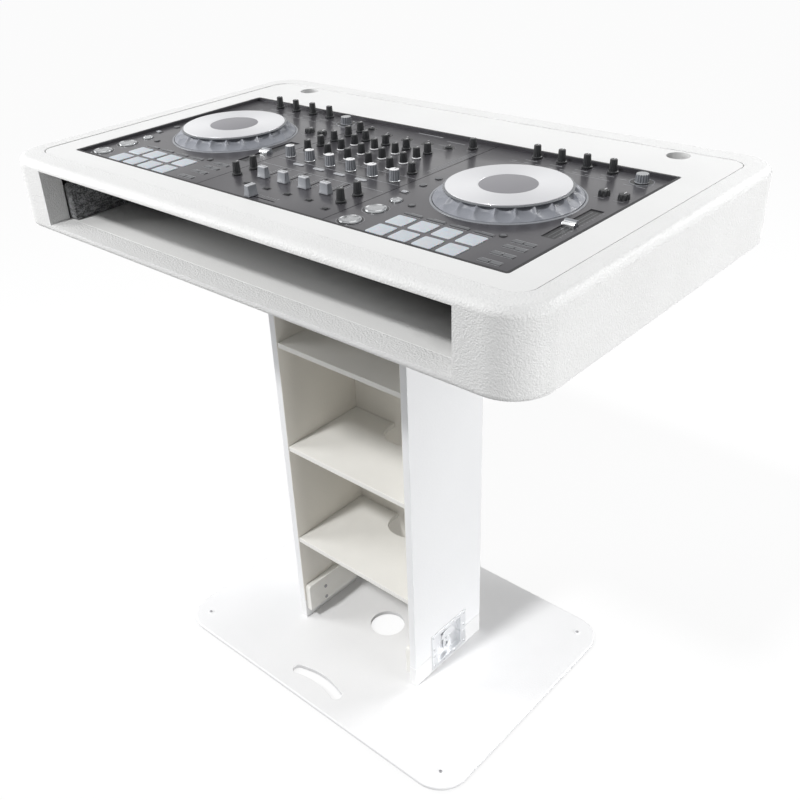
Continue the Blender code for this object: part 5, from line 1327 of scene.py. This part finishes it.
def make_print():
    """Scales, section lines and plain label bars, with no lettering, and pale bars along the corner buttons'
    edges that are painted highlights.
    """
    bm = bmesh.new()
    add_mixer_print(bm)
    for side, deck_x in DECK_MIDDLES:
        add_deck_print(bm, side, deck_x)
    add_piece("plate_print", bm, [INK_AND_PAINTED_HIGHLIGHTS], "graphite")


def make_boards():
    """Circuit boards on their posts, under the faceplate."""
    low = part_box("mixer_board")[0].z
    underside = BOARD_TOP - BOARD_THICKNESS
    for name, board in (("mixer", Solid("mixer_board")), *pair("deck_board")):
        bm = bmesh.new()
        add_box(bm, (board.low.x, board.low.y, underside), (board.high.x, board.high.y, BOARD_TOP))
        for x in (board.low.x + 0.02, board.high.x - 0.02):
            for y in (board.low.y + 0.01, board.high.y - 0.01):
                add_turned(bm, (x, y), [(0.003, low), (0.003, underside)], 16, index=1)
        add_piece(f"circuit_board_{name}", bm, [CIRCUIT, DARK_ZINC], "circuit")


# Latches and screws

def add_screw(bm, place, radii, wall, rise, segments, start):
    """The head of a screw that points along X: its radii, and the tops of its wall and of its face."""
    outer, inner, hollow = radii
    profile = [(outer, 0.0), (outer, wall), (inner, rise), (hollow, rise)]
    add_turned(bm, place, profile, segments, start, axis="x")


def make_latches():
    for side, sign in SIDES:
        for part in ("dish", "keeper"):
            eased_copy(f"latch_{part}_{side}", 0.0004, ZINC, "steel", 70)
        for part in ("hook", "cam", "wing"):
            eased_copy(f"latch_{part}_{side}", 0.0003, ZINC, "steel", 60)
        dish_low, dish_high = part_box(f"latch_dish_{side}")
        start = (dish_high if sign > 0 else dish_low).x - sign * 0.0004
        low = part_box(f"latch_keeper_{side}")[0].z
        high = dish_high.z
        edge = (dish_high.y - dish_low.y) / 2 - LATCH_SCREW_INSET
        heights = (low + 0.008, SEAM - LATCH_SCREW_INSET, SEAM + 0.012, high - LATCH_SCREW_INSET)
        places = [(y, z) for y in (-edge, edge) for z in heights]
        places += [(y, z) for y in (-0.016, 0.016) for z in (low + 0.0045, high - 0.0045)]
        bm = bmesh.new()
        for place in places:
            add_screw(bm, place, LATCH_SCREW_RADII, sign * 0.0008, sign * 0.0013, 24, start)
        add_piece(f"latch_screws_{side}", bm, [SCREW_ZINC], "steel")


def make_screws():
    """Small screws in the cleats and near the corners of the faceplate."""
    bm = bmesh.new()
    for side, sign in SIDES:
        low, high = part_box(f"cleat_{side}")
        start = (low if sign > 0 else high).x + sign * 0.001
        for place in CLEAT_SCREWS:
            add_screw(bm, place, CLEAT_SCREW_RADII, -sign * 0.0009, -sign * 0.0013, 20, start)
    add_piece("cleat_screws", bm, [DARK_ZINC], "steel")
    bm = bmesh.new()
    reach = PLATE.half - Vector((PLATE_SCREW_INSET, PLATE_SCREW_INSET, 0.0))
    profile = [(0.0019, -0.0001), (0.0019, 0.0003), (0.0013, 0.0005)]
    for x in (-reach.x, reach.x):
        for y in (-reach.y, reach.y):
            add_turned(bm, (x, PLATE.middle.y + y), profile, 20, PLATE_TOP)
    add_piece("faceplate_screws", bm, [BLACK_KNOB], "black_plastic")


def finish_solids():
    """Finishes for the solids that stay as they are."""
    node = frame["nodes"]["controller_case"]
    node.data.materials.clear()
    node.data.materials.append(BLACK_CASE)


# Camera, floor and light

def link(name, data, matrix):
    """Puts a camera or a lamp into the scene."""
    made = bpy.data.objects.new(name, data)
    made.matrix_world = matrix
    bpy.context.scene.collection.objects.link(made)
    return made


def place_camera():
    azimuth = math.radians(AZIMUTH)
    elevation = math.radians(ELEVATION)
    roll = math.radians(ROLL)
    back = Vector((math.sin(azimuth) * math.cos(elevation), -math.cos(azimuth) * math.cos(elevation),
                   math.sin(elevation)))
    right = Vector((0.0, 0.0, 1.0)).cross(back).normalized()
    up = back.cross(right)
    across = right * math.cos(roll) + up * math.sin(roll)
    upward = up * math.cos(roll) - right * math.sin(roll)
    data = bpy.data.cameras.new("photo_camera")
    data.sensor_fit = "HORIZONTAL"
    data.sensor_width = SENSOR_MM
    data.lens = FOCAL_PIXELS / PHOTO_SIZE * SENSOR_MM
    data.shift_x = (PHOTO_SIZE / 2 - CENTRE_U) / PHOTO_SIZE
    data.shift_y = (CENTRE_V - PHOTO_SIZE / 2) / PHOTO_SIZE
    turn = Matrix((across, upward, back)).transposed().to_4x4()
    bpy.context.scene.camera = link("photo_camera", data, Matrix.Translation(EYE) @ turn)


def add_softbox(name, eye, target, width, height, watts):
    data = bpy.data.lights.new(name, "AREA")
    data.shape = "RECTANGLE"
    data.size = width
    data.size_y = height
    data.energy = watts
    turn = (Vector(target) - Vector(eye)).to_track_quat("-Z", "Y").to_matrix().to_4x4()
    link(name, data, Matrix.Translation(eye) @ turn)


def add_sun(name, towards, strength, degrees):
    """A sun that lies in the given direction, with a disc that many degrees wide."""
    data = bpy.data.lights.new(name, "SUN")
    data.energy = strength
    data.angle = math.radians(degrees)
    link(name, data, Vector(towards).to_track_quat("Z", "Y").to_matrix().to_4x4())


def make_stage():
    bm = bmesh.new()
    add_block(bm, (0.0, 0.0), FLOOR_REACH, FLOOR_REACH, -0.02, -0.0002)
    finish = Finish("pale_floor", {"Roughness": 0.9, "Specular IOR Level": 0.0})
    finish.colour(finish.seen_directly(), (0.30, 0.30, 0.30), (0.95, 0.95, 0.95))
    glow = finish.node("ShaderNodeEmission", {}, {"Color": (1.0, 1.0, 1.0)})
    shade = Wire(finish, finish.shader.outputs[0])
    finish.surface("Material Output", finish.seen_directly() * FLOOR_GLOW, shade, glow)
    make("studio_floor", bm, [finish.material])


def make_world():
    world = bpy.data.worlds.new("studio")
    nodes = Nodes(world)
    light, seen = [nodes.node("ShaderNodeBackground", {}, {"Color": colour, "Strength": strength})
                   for colour, strength in (((0.97, 0.985, 1.0), WORLD_STRENGTH), ((1.0, 1.0, 1.0), 1.0))]
    nodes.surface("World Output", nodes.seen_directly(), light, seen)
    bpy.context.scene.world = world


place_camera()
make_world()
make_stage()
add_sun("key_sun", *KEY_SUN)
for name, setting in SOFTBOXES.items():
    add_softbox(name, *setting)
bpy.context.scene.view_settings.view_transform = "Standard"

make_base()
make_feet()
make_column()
make_head()
make_deck()
make_supports()
make_faceplate()
make_border()
make_jog_surrounds()
make_wells()
make_black_knobs()
make_silver_knobs()
make_faders()
make_tempo_caps()
make_round_buttons()
make_pads()
make_jogs()
make_small_buttons()
make_print()
make_boards()
make_latches()
make_screws()
finish_solids()
